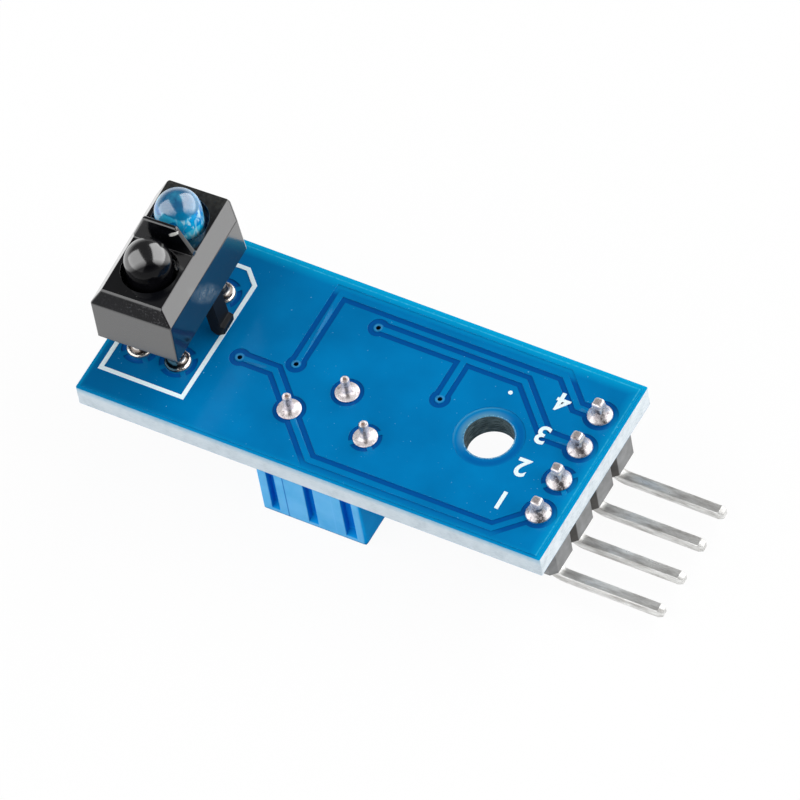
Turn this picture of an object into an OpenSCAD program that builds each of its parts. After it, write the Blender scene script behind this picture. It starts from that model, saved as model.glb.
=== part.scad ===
// Infrared reflective sensor module: an emitter and a detector look up from one side of a small board, and the
// comparator, the sensitivity trimmer and an angled pin header sit on its other side.
// The origin is the middle of the fixing hole on the sensor side. +X runs towards the header pins, +Y along
// the pin row and +Z is the way the sensor looks. Sizes are millimetres.

/* [Board] */
// Length of the board
board_length = 31; // [30:0.5:34]
// Width of the board
board_width = 13.5; // [13.5:0.5:16]
// Thickness of the glass-fibre core
core_thickness = 1.5; // [1:0.1:2]
// Radius of the board's corners
board_corner = 0.1; // [0.05:0.05:1]
// Diameter of the fixing hole
fixing_bore = 3; // [2.5:0.1:3.4]
// Bare ring round the fixing hole
fixing_margin = 0.65; // [0.4:0.05:0.8]
// From the middle of the fixing hole to the header edge
fixing_to_header_edge = 6.85; // [6.6:0.05:7.2]
// From the middle of the fixing hole to the near edge
fixing_to_near_edge = 6.6; // [6.4:0.05:6.9]

/* [Copper and print] */
// Thickness of a copper layer with its lacquer
copper_thickness = 0.05; // [0.04:0.01:0.08]
// Bare strip between the copper and the board's edges
copper_setback = 0.2; // [0.15:0.05:0.3]
// Width of a track
track_width = 0.38; // [0.3:0.02:0.5]
// Gap beside a track, down to the core
track_gap = 0.33; // [0.2:0.01:0.4]
// Gap round a pad, down to the core
pad_gap = 0.3; // [0.2:0.01:0.35]
// Width of the spokes that tie a pad to the copper round it
spoke_width = 0.32; // [0.2:0.02:0.5]
// Diameter of a via's land
via_land = 0.62; // [0.56:0.02:0.8]
// Diameter of a via's hole
via_bore = 0.3; // [0.2:0.02:0.4]
// Lane of the supply track, from the near edge
supply_lane = 0.9; // [0.8:0.05:1]
// Lane of the analogue track, from the far edge
analogue_lane = 1.2; // [1.1:0.05:1.3]
// Lane of the switched track, from the far edge
switched_lane = 2.54; // [2.5:0.02:2.7]
// Thickness of the printed ink
print_thickness = 0.03; // [0.02:0.01:0.05]
// Width of a printed line
print_line = 0.27; // [0.2:0.01:0.35]
// From the housing's long sides to the printed outline's outer edge
outline_side_room = 0.21; // [0.15:0.01:0.35]
// From the housing's ends to the printed outline's outer edge
outline_end_room = 0.27; // [0.15:0.01:0.35]
// Corner cut of the printed outline
outline_cut = 1; // [0.8:0.05:1.2]
// From the header edge to the printed dot
dot_to_header_edge = 7.2; // [7.1:0.05:7.3]
// From the far edge to the printed dot
dot_to_far_edge = 3.6; // [3.5:0.05:3.8]
// Straight run of the analogue track into its pad
analogue_straight = 1.5; // [1.3:0.1:1.7]
// Straight run of the switched track into its pad
switched_straight = 2.3; // [2.2:0.1:2.6]
// From the free edge to the supply track's via
supply_via_to_free_edge = 7.9; // [7.8:0.05:8]
// From the near edge to the supply track's via
supply_via_to_near_edge = 5.8; // [5.7:0.05:5.9]
// From the free edge to the analogue track's via
analogue_via_to_free_edge = 11.2; // [11.1:0.05:11.3]
// From the near edge to the analogue track's via
analogue_via_to_near_edge = 6.7; // [6.6:0.05:6.8]
// From the free edge to the switched track's via
switched_via_to_free_edge = 14.4; // [14.2:0.05:14.6]
// From the free edge to the lamp track's via
lamp_via_to_free_edge = 20.2; // [20.1:0.05:20.3]
// From the near edge to the lamp track's via
lamp_via_to_near_edge = 7.85; // [7.8:0.05:8]

/* [Reflective sensor] */
// From the free edge of the board to the middle of the sensor
sensor_to_free_edge = 3.45; // [3.4:0.05:4]
// Twist of the sensor on its leads, in degrees
sensor_twist = 2; // [0:0.1:2.5]
// Length of the housing, across the board
housing_length = 9.5; // [9.4:0.1:9.8]
// Width of the housing
housing_width = 5.35; // [5.2:0.05:5.6]
// Height of the housing without its divider
housing_height = 4.3; // [4:0.1:5]
// Thickness of the housing's outer walls
housing_wall = 0.65; // [0.5:0.05:0.7]
// Thickness of the wall between the two chambers
middle_wall = 0.9; // [0.7:0.05:1]
// Thickness of the housing's roof
housing_roof = 1.4; // [1.2:0.1:1.8]
// Bevel of the roof along the long sides, sideways
side_bevel = 0.7; // [0.3:0.05:0.9]
// Bevel of the roof at the two ends, sideways
end_bevel = 0.42; // [0.2:0.02:0.6]
// Height of both bevels
bevel_height = 1.1; // [0.8:0.05:1.3]
// Cut across the two corners at the emitter's end, at the bottom
corner_cut = 0.6; // [0.3:0.05:0.8]
// Inward lean of that cut, in degrees
corner_lean = 4; // [0:0.5:6]
// Thickness of the divider between the lenses
divider_thickness = 0.3; // [0.25:0.05:0.4]
// Height of the divider above the roof
divider_height = 2.15; // [2:0.05:3]
// Width of the divider's top edge
divider_top_width = 2.2; // [2:0.05:3]
// Height at which the divider's shoulders start
divider_shoulder = 0.25; // [0.1:0.05:1]
// Length of the sprung legs under the housing
leg_length = 3.15; // [2.8:0.05:3.5]
// Width of a sprung leg
leg_width = 1.2; // [0.8:0.05:1.3]
// Thickness of a sprung leg
leg_thickness = 0.8; // [0.5:0.02:0.84]
// Shift of the legs from the middle, towards the emitter
leg_shift = 0.4; // [0:0.05:0.5]
// How far a leg's foot stands out past its root
leg_splay = 0.3; // [0.2:0.02:0.5]
// Reach of the hook on a leg
hook_reach = 0.3; // [0.2:0.02:0.5]
// Height of the hook's ledge above the foot
hook_height = 1; // [0.8:0.05:1.2]
// Distance between the two lenses
lens_spacing = 3.9; // [3.88:0.02:4.1]
// Diameter of a lens
lens_diameter = 2.84; // [2.6:0.02:2.86]
// Height of a lens above the roof
lens_height = 2.2; // [1.8:0.05:2.6]
// Gap round a lens in the roof
lens_gap = 0.3; // [0.2:0.01:0.32]
// Clearance of the emitter and detector in their chambers
chamber_clearance = 0.05; // [0.02:0.01:0.1]
// Step from the housing's lower edge up to the emitter and detector
chamber_step = 0.2; // [0.1:0.05:0.4]
// Width of a sensor lead, along the board
sensor_lead_width = 0.44; // [0.4:0.02:0.5]
// Thickness of a sensor lead
sensor_lead_thickness = 0.4; // [0.3:0.02:0.44]
// Distance between the two leads of one lens
sensor_lead_pitch = 2.54; // [2.4:0.02:2.6]
// Distance between the emitter's and the detector's leads
sensor_lead_rows = 5.4; // [5.3:0.05:5.6]
// Length of a sensor lead below the board
sensor_lead_tail = 1; // [0.8:0.1:1.4]
// Length of a sensor lead inside the emitter or detector
sensor_lead_grip = 2.2; // [1:0.1:2.4]

/* [Solder and pads] */
// Diameter of the plated hole round a sensor lead
sensor_hole = 1; // [0.96:0.02:1.1]
// Diameter of the pad round a sensor lead
sensor_pad = 1.7; // [1.6:0.02:1.9]
// Diameter of the plated hole round a trimmer pin
trimmer_hole = 0.8; // [0.7:0.02:0.9]
// Diameter of the pad round a trimmer pin
trimmer_pad = 1.4; // [1.2:0.02:1.5]
// Diameter of the plated hole round a header pin
header_hole = 1; // [0.96:0.02:1.06]
// Diameter of the pad round a header pin
header_pad = 1.54; // [1.4:0.02:1.7]
// Height of a solder cone
solder_height = 0.95; // [0.7:0.05:1.1]
// Height of the flat solder collar on a trimmer pin
collar_height = 0.3; // [0.2:0.05:0.5]
// Gap between the solder and the wall of a plated hole
solder_gap = 0.02; // [0.01:0.01:0.04]

/* [Pin header] */
// Number of pins
pin_count = 4; // [4:1:4]
// Distance from pin to pin
pin_pitch = 2.54; // [2.5:0.02:2.6]
// From the pin row to the header edge of the board
pin_to_edge = 1.6; // [1.5:0.05:1.8]
// Side of a square pin
pin_size = 0.64; // [0.6:0.02:0.66]
// Width of the insulating block, along the board
block_width = 2.54; // [2.4:0.02:2.6]
// Height of the insulating block
block_height = 2.54; // [2.3:0.02:2.8]
// Bevel at the corners of each cell of the block
block_bevel = 0.38; // [0.2:0.02:0.5]
// Height of the pins above the board
pin_above = 1.55; // [1.3:0.05:2]
// Straight length between the block and the bend
pin_neck = 0.2; // [0.1:0.05:0.4]
// Radius of the bend at the middle of the pin
pin_bend = 1.25; // [1:0.05:1.5]
// Reach of the pins past the header edge of the board
pin_reach = 6; // [5:0.1:8]
// Bevel at the ends of the pins
pin_bevel = 0.16; // [0.1:0.02:0.2]

/* [Trimmer] */
// From the free edge of the board to the middle of the trimmer
trimmer_to_free_edge = 14.97; // [14.8:0.01:15.4]
// From the near edge of the board to the middle of the trimmer
trimmer_to_near_edge = 3.85; // [3.8:0.05:3.95]
// Length of the trimmer's housing, along the board
trimmer_length = 7; // [6.8:0.05:7.1]
// Width of the trimmer's housing
trimmer_width = 6.7; // [6.6:0.05:6.8]
// Height of the trimmer's housing
trimmer_height = 4.75; // [4.6:0.05:5.4]
// Radius of the trimmer's upright edges
trimmer_corner = 0.25; // [0.1:0.05:0.4]
// Bevel round the trimmer's outer face
trimmer_bevel = 0.1; // [0.05:0.05:0.3]
// Thickness of the trimmer's end walls
trimmer_wall = 0.5; // [0.4:0.05:0.55]
// Thickness of the trimmer's grooved walls
grooved_wall = 0.75; // [0.7:0.05:0.8]
// Thickness of the face that holds the adjuster
trimmer_face = 0.9; // [0.7:0.05:1]
// Width of the middle groove in the trimmer's side
groove_width = 0.64; // [0.4:0.02:0.8]
// How much wider a groove is than the one before it, towards the header
groove_step = 0.1; // [0:0.02:0.12]
// Depth of a groove
groove_depth = 0.48; // [0.3:0.02:0.5]
// Height at which a groove ends above the outer face
groove_stop = 0.35; // [0.2:0.05:0.5]
// Distance from groove to groove, and from pin to pin
trimmer_pitch = 2.54; // [2.4:0.02:2.56]
// Distance from the two end pins to the middle pin's row
trimmer_pin_rows = 2.45; // [2.3:0.05:2.5]
// From the middle of the trimmer to the row of the end pins
trimmer_row_shift = 0.21; // [0.2:0.01:0.3]
// Diameter of a trimmer pin
trimmer_pin = 0.5; // [0.4:0.02:0.56]
// Height of the trimmer's pins above the board
trimmer_pin_above = 1.35; // [1.1:0.05:2]
// Thickness of the trimmer's base plug
base_thickness = 1; // [0.8:0.05:1.2]
// Step from the trimmer's rim down to the base plug
base_step = 0.15; // [0.1:0.05:0.3]
// Rim of the base plug round each of the trimmer's pins
plug_rim = 0.07; // [0.05:0.01:0.07]
// Clearance of the base plug and the ceramic plate in the housing
base_clearance = 0.03; // [0.01:0.01:0.06]
// Thickness of the ceramic plate that carries the resistive track
ceramic_thickness = 0.55; // [0.4:0.05:0.7]
// Thickness of the wiper spring
wiper_thickness = 0.15; // [0.1:0.01:0.2]
// Running clearance round the adjuster and its wiper
running_clearance = 0.05; // [0.03:0.01:0.08]
// Diameter of the chamber that the adjuster turns in
chamber_bore = 5; // [4.8:0.05:5.1]
// Diameter of the adjuster's head, which shows in the outer face
adjuster_head = 3.3; // [3:0.1:3.5]
// Depth of the adjuster's head below the outer face
adjuster_sink = 0.1; // [0.05:0.05:0.3]
// Width of the screwdriver slot
driver_slot_width = 0.6; // [0.5:0.05:0.8]
// Length of the screwdriver slot
driver_slot_length = 2.6; // [2:0.1:2.8]
// Depth of the screwdriver slot
driver_slot_depth = 0.75; // [0.5:0.05:0.8]
// Section of the seal ring on the adjuster
seal_section = 0.4; // [0.3:0.05:0.5]

/* [Comparator] */
// From the free edge of the board to the middle of the comparator
comparator_to_free_edge = 9.3; // [9.2:0.05:9.5]
// From the near edge of the board to the middle of the comparator
comparator_to_near_edge = 9.95; // [9.9:0.05:10.1]
// Width of the comparator's body
chip_width = 3.9; // [3.8:0.05:4]
// Length of the comparator's body
chip_length = 4.9; // [4.8:0.05:5]
// Thickness of the comparator's body
chip_thickness = 1.35; // [1.2:0.05:1.5]
// Gap between the comparator's body and the board
chip_standoff = 0.15; // [0.1:0.05:0.25]
// Draught of the comparator's moulded sides
chip_draught = 0.12; // [0.05:0.01:0.2]
// Distance over both rows of leads
chip_span = 6; // [5.9:0.05:6.1]
// Distance from lead to lead
chip_pitch = 1.27; // [1.25:0.01:1.29]
// Width of a comparator lead
chip_lead_width = 0.42; // [0.35:0.01:0.5]
// Thickness of a comparator lead
chip_lead_thickness = 0.2; // [0.15:0.01:0.25]
// Length of a comparator lead's foot
chip_foot = 0.65; // [0.5:0.05:0.8]
// Diameter of the dimple that marks lead 1
chip_dimple = 0.5; // [0.4:0.05:0.6]

/* [Chips and lamps] */
// Length of a chip resistor or capacitor
chip_part_length = 1.6; // [1.5:0.05:1.7]
// Width of a chip resistor or capacitor
chip_part_width = 0.8; // [0.75:0.05:0.9]
// Thickness of a chip resistor
resistor_thickness = 0.45; // [0.4:0.05:0.6]
// Thickness of a chip capacitor
capacitor_thickness = 0.8; // [0.6:0.05:0.9]
// Length of a chip part's pad
part_pad_length = 0.9; // [0.8:0.05:1]
// Length of the comparator's pads
chip_pad_length = 1.2; // [1:0.05:1.3]
// Rim of a pad beside the piece that is soldered to it
pad_rim = 0.1; // [0.05:0.01:0.12]
// Room between a chip part and its printed frame
frame_room = 0.25; // [0.2:0.01:0.3]
// From the header edge to the middle of a lamp
lamp_to_header_edge = 5; // [4.9:0.05:5.1]
// From the board's near or far edge to the middle of a lamp
lamp_to_side_edge = 1.9; // [1.8:0.05:2]
// From a lamp to its resistor
lamp_to_resistor = 3.8; // [3.7:0.05:3.9]
// From the lamp track's via to the pull-up resistor
pull_up_to_via = 2.95; // [2.9:0.05:3.1]
// From the free edge to the sensor's two resistors
pair_to_free_edge = 7.6; // [7.5:0.05:7.7]
// From the near edge to the first of the sensor's two resistors
pair_to_near_edge = 2.3; // [2.2:0.05:2.4]
// Distance between the sensor's two resistors
pair_pitch = 1.9; // [1.85:0.05:2]
// From the free edge to the first capacitor
capacitor_to_free_edge = 16.6; // [16.4:0.05:16.8]
// From the far edge to the capacitors
capacitor_to_far_edge = 3.1; // [3:0.05:3.2]
// Distance between the two capacitors
capacitor_pitch = 2.4; // [2.3:0.05:2.5]
// Length of a metal end
metal_end = 0.32; // [0.2:0.02:0.4]
// How far a metal end stands proud
metal_lip = 0.02; // [0.01:0.01:0.04]
// Length of an indicator lamp
lamp_length = 2; // [1.9:0.05:2.1]
// Width of an indicator lamp
lamp_width = 1.25; // [1.2:0.05:1.3]
// Thickness of an indicator lamp's base
lamp_base_thickness = 0.28; // [0.2:0.02:0.4]
// Height of an indicator lamp's lens
lamp_lens_height = 0.5; // [0.4:0.05:0.6]

/* [Hidden] */
$fn = 48;
free_edge = fixing_to_header_edge - board_length;
header_edge = fixing_to_header_edge;
near_edge = -fixing_to_near_edge;
far_edge = near_edge + board_width;
board_middle = near_edge + board_width / 2;
copper_top = copper_thickness;
print_top = copper_top + print_thickness;
core_bottom = -core_thickness;
component_face = core_bottom - copper_thickness;
cut = 0.5; // how far a cutting solid runs past the face that it cuts

// A place on the board, from the free edge and from the near edge
function on_board(u, v) = [free_edge + u, near_edge + v];
function turned(p, a) = [p.x * cos(a) - p.y * sin(a), p.x * sin(a) + p.y * cos(a)];

sensor_middle = [free_edge + sensor_to_free_edge, board_middle];
sensor_base = print_top + leg_length;
lead_grid = [for (y = [-1, 1]) for (x = [-1, 1]) [x * sensor_lead_pitch / 2, y * sensor_lead_rows / 2]];
sensor_holes = [for (p = lead_grid) sensor_middle + p];
sensor_leads = [for (p = lead_grid) sensor_middle + turned(p, sensor_twist)];
header_pins = [for (i = [0:pin_count - 1])
    [header_edge - pin_to_edge, board_middle + (i - (pin_count - 1) / 2) * pin_pitch]];
trimmer_middle = on_board(trimmer_to_free_edge, trimmer_to_near_edge);
trimmer_grid = [
    [-trimmer_pitch, -trimmer_row_shift],
    [0, trimmer_pin_rows - trimmer_row_shift],
    [trimmer_pitch, -trimmer_row_shift]
];
trimmer_pins = [for (p = trimmer_grid) trimmer_middle + p];
comparator_middle = on_board(comparator_to_free_edge, comparator_to_near_edge);

// Vias, which carry the tracks from one side of the board to the other
supply_via = on_board(supply_via_to_free_edge, supply_via_to_near_edge);
analogue_via = on_board(analogue_via_to_free_edge, analogue_via_to_near_edge);
switched_via = on_board(switched_via_to_free_edge, board_width - switched_lane);
lamp_via = on_board(lamp_via_to_free_edge, lamp_via_to_near_edge);
vias = [supply_via, analogue_via, switched_via, lamp_via];

// Tracks on the sensor side: straight runs with 45 degree turns, worked out from the pads that they join
supply_y = near_edge + supply_lane;
analogue_y = far_edge - analogue_lane;
switched_y = far_edge - switched_lane;
first_pin = trimmer_pins[0];
supply_pad = header_pins[0];
switched_pad = header_pins[2];
analogue_pad = header_pins[3];
supply_track = [
    supply_via,
    [first_pin.x - abs(supply_via.y - first_pin.y), supply_via.y],
    first_pin,
    [first_pin.x + first_pin.y - supply_y, supply_y],
    [supply_pad.x - supply_pad.y + supply_y, supply_y],
    supply_pad
];
analogue_track = [
    analogue_via,
    [analogue_via.x, analogue_y],
    [analogue_pad.x - analogue_straight - analogue_y + analogue_pad.y, analogue_y],
    [analogue_pad.x - analogue_straight, analogue_pad.y],
    analogue_pad
];
switched_track = [
    switched_via,
    [switched_pad.x - switched_straight - switched_y + switched_pad.y, switched_y],
    [switched_pad.x - switched_straight, switched_pad.y],
    switched_pad
];
lamp_track = [[lamp_via.x, switched_y], lamp_via];
sensor_side_tracks = [supply_track, analogue_track, switched_track, lamp_track];

// Chip parts on the component side: middle and direction, in quarter turns
lamps = [for (v = [lamp_to_side_edge, board_width - lamp_to_side_edge])
    [on_board(board_length - lamp_to_header_edge, v), 0]];
capacitors = [for (k = [0, 1])
    [on_board(capacitor_to_free_edge + k * capacitor_pitch, board_width - capacitor_to_far_edge), 1]];
resistors = [
    [lamps[0][0] - [lamp_to_resistor, 0], 0],
    [lamps[1][0] - [lamp_to_resistor, 0], 0],
    [lamp_via - [0, pull_up_to_via], 1],
    [on_board(pair_to_free_edge, pair_to_near_edge), 0],
    [on_board(pair_to_free_edge, pair_to_near_edge + pair_pitch), 0]
];
function chip_ends(part, reach) = [for (s = [-1, 1])
    part[0] + (part[1] == 1 ? [0, s * reach] : [s * reach, 0])];
part_pad = [part_pad_length, chip_part_width + 2 * pad_rim]; // a chip part's pad, along and across the part
lamp_pad = [part_pad_length, lamp_width + 2 * pad_rim];
chip_pad = [chip_pad_length, chip_lead_width + 2 * pad_rim];
part_reach = chip_part_length / 2;
lamp_reach = lamp_length / 2;
chip_rows = [for (s = [-1, 1]) for (i = [0:3])
    comparator_middle + [s * (chip_span / 2 - chip_foot / 2), (i - 1.5) * chip_pitch]];
pair_first = chip_ends(resistors[3], part_reach);
pair_second = chip_ends(resistors[4], part_reach);
component_side_tracks = [
    [supply_via, [pair_second[1].x, supply_via.y + supply_via.x - pair_second[1].x], pair_second[1]],
    [pair_second[1], pair_first[1]],
    [sensor_holes[1], [pair_second[0].x - part_pad_length, sensor_holes[1].y], pair_second[0]],
    [switched_via, [chip_rows[6].x + switched_via.y - chip_rows[6].y, switched_via.y], chip_rows[6]],
    [analogue_via, [analogue_via.x, chip_rows[4].y]],
    [lamp_via, chip_ends(resistors[2], part_reach)[1]],
    [chip_ends(resistors[0], part_reach)[1], chip_ends(lamps[0], lamp_reach)[0]],
    [chip_ends(resistors[1], part_reach)[1], chip_ends(lamps[1], lamp_reach)[0]]
];

// Outline of a rectangle about the origin with rounded corners
function rounded(x, y, r, steps = 4) = [for (q = [0:3]) for (i = [0:steps])
    let (a = 90 * (q + i / steps))
    [(q == 0 || q == 3 ? 1 : -1) * (x / 2 - r) + r * cos(a), (q < 2 ? 1 : -1) * (y / 2 - r) + r * sin(a)]];

// Outline of a line of one width along a path, mitred at its turns
function side_of(a, b) = let (d = (b - a) / norm(b - a)) [-d.y, d.x];
function mitre(p, i) = let (
    m = side_of(p[max(i - 1, 0)], p[max(i, 1)]),
    n = side_of(p[min(i, len(p) - 2)], p[min(i + 1, len(p) - 1)])
) (m + n) / (1 + m * n);
function line_outline(p, width) = concat(
    [for (i = [0:len(p) - 1]) p[i] + mitre(p, i) * width / 2],
    [for (i = [len(p) - 1:-1:0]) p[i] - mitre(p, i) * width / 2]
);

// Outline with two corners cut at its far end
function cut_outline(x, y, c) = [
    [-x / 2, -y / 2], [x / 2, -y / 2], [x / 2, y / 2 - c], [x / 2 - c, y / 2], [c - x / 2, y / 2],
    [-x / 2, y / 2 - c]
];

module board_plan(setback = 0) {
    translate([(free_edge + header_edge) / 2, board_middle])
        polygon(rounded(board_length - 2 * setback, board_width - 2 * setback, board_corner));
}

module at_each(places) {
    for (p = places) translate(p) children();
}

// A round gap in the copper, crossed by four spokes where the pad is tied to the copper round it
module pad_moat(diameter, tied) {
    difference() {
        circle(d = diameter + 2 * pad_gap);
        if (tied) {
            for (a = [45, 135])
                rotate(a) square([diameter + 4 * pad_gap, spoke_width], center = true);
        }
    }
}

module plated_holes() {
    at_each(sensor_holes) circle(d = sensor_hole);
    at_each(trimmer_pins) circle(d = trimmer_hole);
    at_each(header_pins) circle(d = header_hole);
    at_each(vias) circle(d = via_bore);
}

module circuit_board() {
    color("royalblue") translate([0, 0, core_bottom]) linear_extrude(core_thickness) difference() {
        board_plan();
        circle(d = fixing_bore);
        plated_holes();
    }
}

module sensor_side_copper() {
    color("deepskyblue") linear_extrude(copper_thickness) difference() {
        union() {
            difference() {
                board_plan(copper_setback);
                circle(d = fixing_bore + 2 * fixing_margin);
                for (t = sensor_side_tracks) polygon(line_outline(t, track_width + 2 * track_gap));
                at_each(vias) circle(d = via_land + 2 * track_gap);
                at_each(sensor_holes) pad_moat(sensor_pad, true);
                at_each([trimmer_pins[0], trimmer_pins[1]]) pad_moat(trimmer_pad, false);
                at_each([trimmer_pins[2]]) pad_moat(trimmer_pad, true);
                at_each([header_pins[0], header_pins[2], header_pins[3]]) pad_moat(header_pad, false);
                at_each([header_pins[1]]) pad_moat(header_pad, true);
            }
            for (t = sensor_side_tracks) polygon(line_outline(t, track_width));
            at_each(vias) circle(d = via_land);
            at_each(sensor_holes) circle(d = sensor_pad);
            at_each(trimmer_pins) circle(d = trimmer_pad);
            at_each(header_pins) circle(d = header_pad);
        }
        plated_holes();
    }
}

// The rectangular pads of the chip parts, each made larger by a margin
module chip_pads(margin) {
    for (part = concat(resistors, capacitors)) at_each(chip_ends(part, part_reach))
        rotate(90 * part[1]) square(part_pad + 2 * [margin, margin], center = true);
    for (lamp = lamps) at_each(chip_ends(lamp, lamp_reach))
        rotate(90 * lamp[1]) square(lamp_pad + 2 * [margin, margin], center = true);
    at_each(chip_rows) square(chip_pad + 2 * [margin, margin], center = true);
}

module component_side_copper() {
    color("deepskyblue") translate([0, 0, component_face]) linear_extrude(copper_thickness) difference() {
        union() {
            difference() {
                board_plan(copper_setback);
                circle(d = fixing_bore + 2 * fixing_margin);
                for (t = component_side_tracks) polygon(line_outline(t, track_width + 2 * track_gap));
                at_each(vias) circle(d = via_land + 2 * track_gap);
                at_each([sensor_holes[0], sensor_holes[3]]) pad_moat(sensor_pad, true);
                at_each([sensor_holes[1], sensor_holes[2]]) pad_moat(sensor_pad, false);
                at_each(trimmer_pins) pad_moat(trimmer_pad, false);
                at_each([header_pins[0], header_pins[2], header_pins[3]]) pad_moat(header_pad, false);
                at_each([header_pins[1]]) pad_moat(header_pad, true);
                chip_pads(pad_gap / 2);
            }
            for (t = component_side_tracks) polygon(line_outline(t, track_width));
            at_each(vias) circle(d = via_land);
            at_each(sensor_holes) circle(d = sensor_pad);
            at_each(trimmer_pins) circle(d = trimmer_pad);
            at_each(header_pins) circle(d = header_pad);
            chip_pads(0);
        }
        plated_holes();
    }
}

// Printed outline of the sensor's place, with a dot by the far pins
outline_size = [housing_width + 2 * outline_side_room, housing_length + 2 * outline_end_room];
module sensor_side_print() {
    inner = outline_size - 2 * [print_line, print_line];
    inner_cut = outline_cut - print_line * (2 - sqrt(2));
    color("white") translate([0, 0, copper_top]) linear_extrude(print_thickness) {
        translate(sensor_middle) difference() {
            polygon(cut_outline(outline_size.x, outline_size.y, outline_cut));
            polygon(cut_outline(inner.x, inner.y, inner_cut));
        }
        translate(on_board(board_length - dot_to_header_edge, board_width - dot_to_far_edge))
            circle(d = print_line, $fn = 24);
    }
}

// Printed corner marks round a part on the component side
module print_frame(size) {
    difference() {
        square(size + 2 * [print_line, print_line], center = true);
        square(size, center = true);
        square([size.x * 0.5, size.y + 4 * print_line], center = true);
    }
}

module component_side_print() {
    color("white") translate([0, 0, component_face - print_thickness]) linear_extrude(print_thickness) {
        for (part = concat(resistors, capacitors)) translate(part[0]) rotate(90 * part[1])
            print_frame([2 * part_reach + part_pad.x + 2 * frame_room, part_pad.y + frame_room]);
        for (lamp = lamps) translate(lamp[0]) rotate(90 * lamp[1])
            print_frame([2 * lamp_reach + lamp_pad.x + 2 * frame_room, lamp_pad.y + frame_room]);
    }
}

module sensor_frame() {
    translate([sensor_middle.x, sensor_middle.y, 0]) rotate(sensor_twist) children();
}

// Side view of a block whose roof is bevelled on both sides
function bevelled_side(w, h, bevel) = [
    [-w / 2, 0], [w / 2, 0], [w / 2, h - bevel_height], [w / 2 - bevel, h], [bevel - w / 2, h],
    [-w / 2, h - bevel_height]
];

chamber = [
    housing_width - 2 * housing_wall,
    (housing_length - 2 * housing_wall - middle_wall) / 2,
    housing_height - housing_roof
];
chamber_shift = (chamber.y + middle_wall) / 2;

module sensor_leg() {
    root = housing_width / 2 - 0.1 - leg_thickness;
    foot = root + leg_splay;
    rotate([90, 0, 0]) linear_extrude(leg_width, center = true) polygon([
        [root, leg_length],
        [foot, 0.3],
        [foot + leg_thickness * 0.4, 0],
        [foot + leg_thickness * 0.6, 0],
        [foot + leg_thickness + hook_reach * 0.5, 0.35],
        [foot + leg_thickness - 0.1 + hook_reach, hook_height - 0.1],
        [foot + leg_thickness - 0.1, hook_height],
        [root + leg_thickness, leg_length]
    ]);
}

module sensor_housing() {
    roof_width = housing_width - 2 * side_bevel;
    color("#1c1c1e") sensor_frame() {
        translate([0, 0, sensor_base]) difference() {
            union() {
                intersection() {
                    rotate([90, 0, 0]) linear_extrude(housing_length, center = true)
                        polygon(bevelled_side(housing_width, housing_height, side_bevel));
                    rotate([90, 0, 90]) linear_extrude(housing_width, center = true)
                        polygon(bevelled_side(housing_length, housing_height, end_bevel));
                }
                translate([0, 0, housing_height]) rotate([90, 0, 0])
                    linear_extrude(divider_thickness, center = true) polygon([
                        [-roof_width / 2, -0.2],
                        [roof_width / 2, -0.2],
                        [roof_width / 2, divider_shoulder],
                        [divider_top_width / 2, divider_height],
                        [-divider_top_width / 2, divider_height],
                        [-roof_width / 2, divider_shoulder]
                    ]);
            }
            for (s = [-1, 1]) {
                translate([s * (housing_width - corner_cut) / 2, (housing_length - corner_cut) / 2, 0])
                    rotate([0, 0, -45 * s]) rotate([corner_lean, 0, 0]) translate([-2, 0, -1]) cube([4, 2, 7]);
                translate([-chamber.x / 2, s * chamber_shift - chamber.y / 2, -cut])
                    cube([chamber.x, chamber.y, chamber.z + cut]);
                translate([0, s * lens_spacing / 2, 0])
                    cylinder(d = lens_diameter + 2 * lens_gap, h = housing_height + divider_height);
            }
        }
        for (side = [0, 1]) translate([0, leg_shift, print_top]) mirror([side, 0, 0]) sensor_leg();
    }
}

// The lens, a cylinder with a domed end, as a turned outline
module lens(height) {
    r = lens_diameter / 2;
    steps = 18;
    rotate_extrude() polygon(concat(
        [[0, 0], [r, 0]],
        [for (i = [0:steps]) [r * cos(90 * i / steps), height - r + r * sin(90 * i / steps)]]
    ));
}

// Emitter or detector: a moulded block in its chamber with the lens standing out through the roof
module optical_block(side) {
    block = chamber - [2, 2, 1] * chamber_clearance - [0, 0, chamber_step];
    sensor_frame() translate([0, 0, sensor_base + chamber_step]) difference() {
        union() {
            translate([-block.x / 2, side * chamber_shift - block.y / 2, 0]) cube(block);
            translate([0, side * lens_spacing / 2, block.z - 0.4])
                lens(housing_height - chamber_step - block.z + 0.4 + lens_height);
        }
        for (x = [-1, 1]) translate([x * sensor_lead_pitch / 2, side * sensor_lead_rows / 2, -cut])
            lead_bar(sensor_lead_grip + cut);
    }
}

module emitter() {
    color("#5aa9e6") optical_block(1);
}

module detector() {
    color("#101216") optical_block(-1);
}

module lead_bar(height) {
    translate([-sensor_lead_width / 2, -sensor_lead_thickness / 2, 0])
        cube([sensor_lead_width, sensor_lead_thickness, height]);
}

// Lead i, straight from inside its block down through the board
module sensor_lead(i) {
    bottom = component_face - sensor_lead_tail;
    top = sensor_base + chamber_step + sensor_lead_grip;
    color("silver") sensor_frame() translate([lead_grid[i].x, lead_grid[i].y, bottom]) lead_bar(top - bottom);
}

// Outline of a solder fillet: flat where it leaves the pad, upright where it meets the pin
function fillet_outline(foot, neck, height, steps = 5) = concat(
    [[0, 0]],
    [for (i = [0:steps]) let (a = 90 * i / steps) [foot - (foot - neck) * sin(a), height * (1 - cos(a))]],
    [[0, height]]
);

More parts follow.
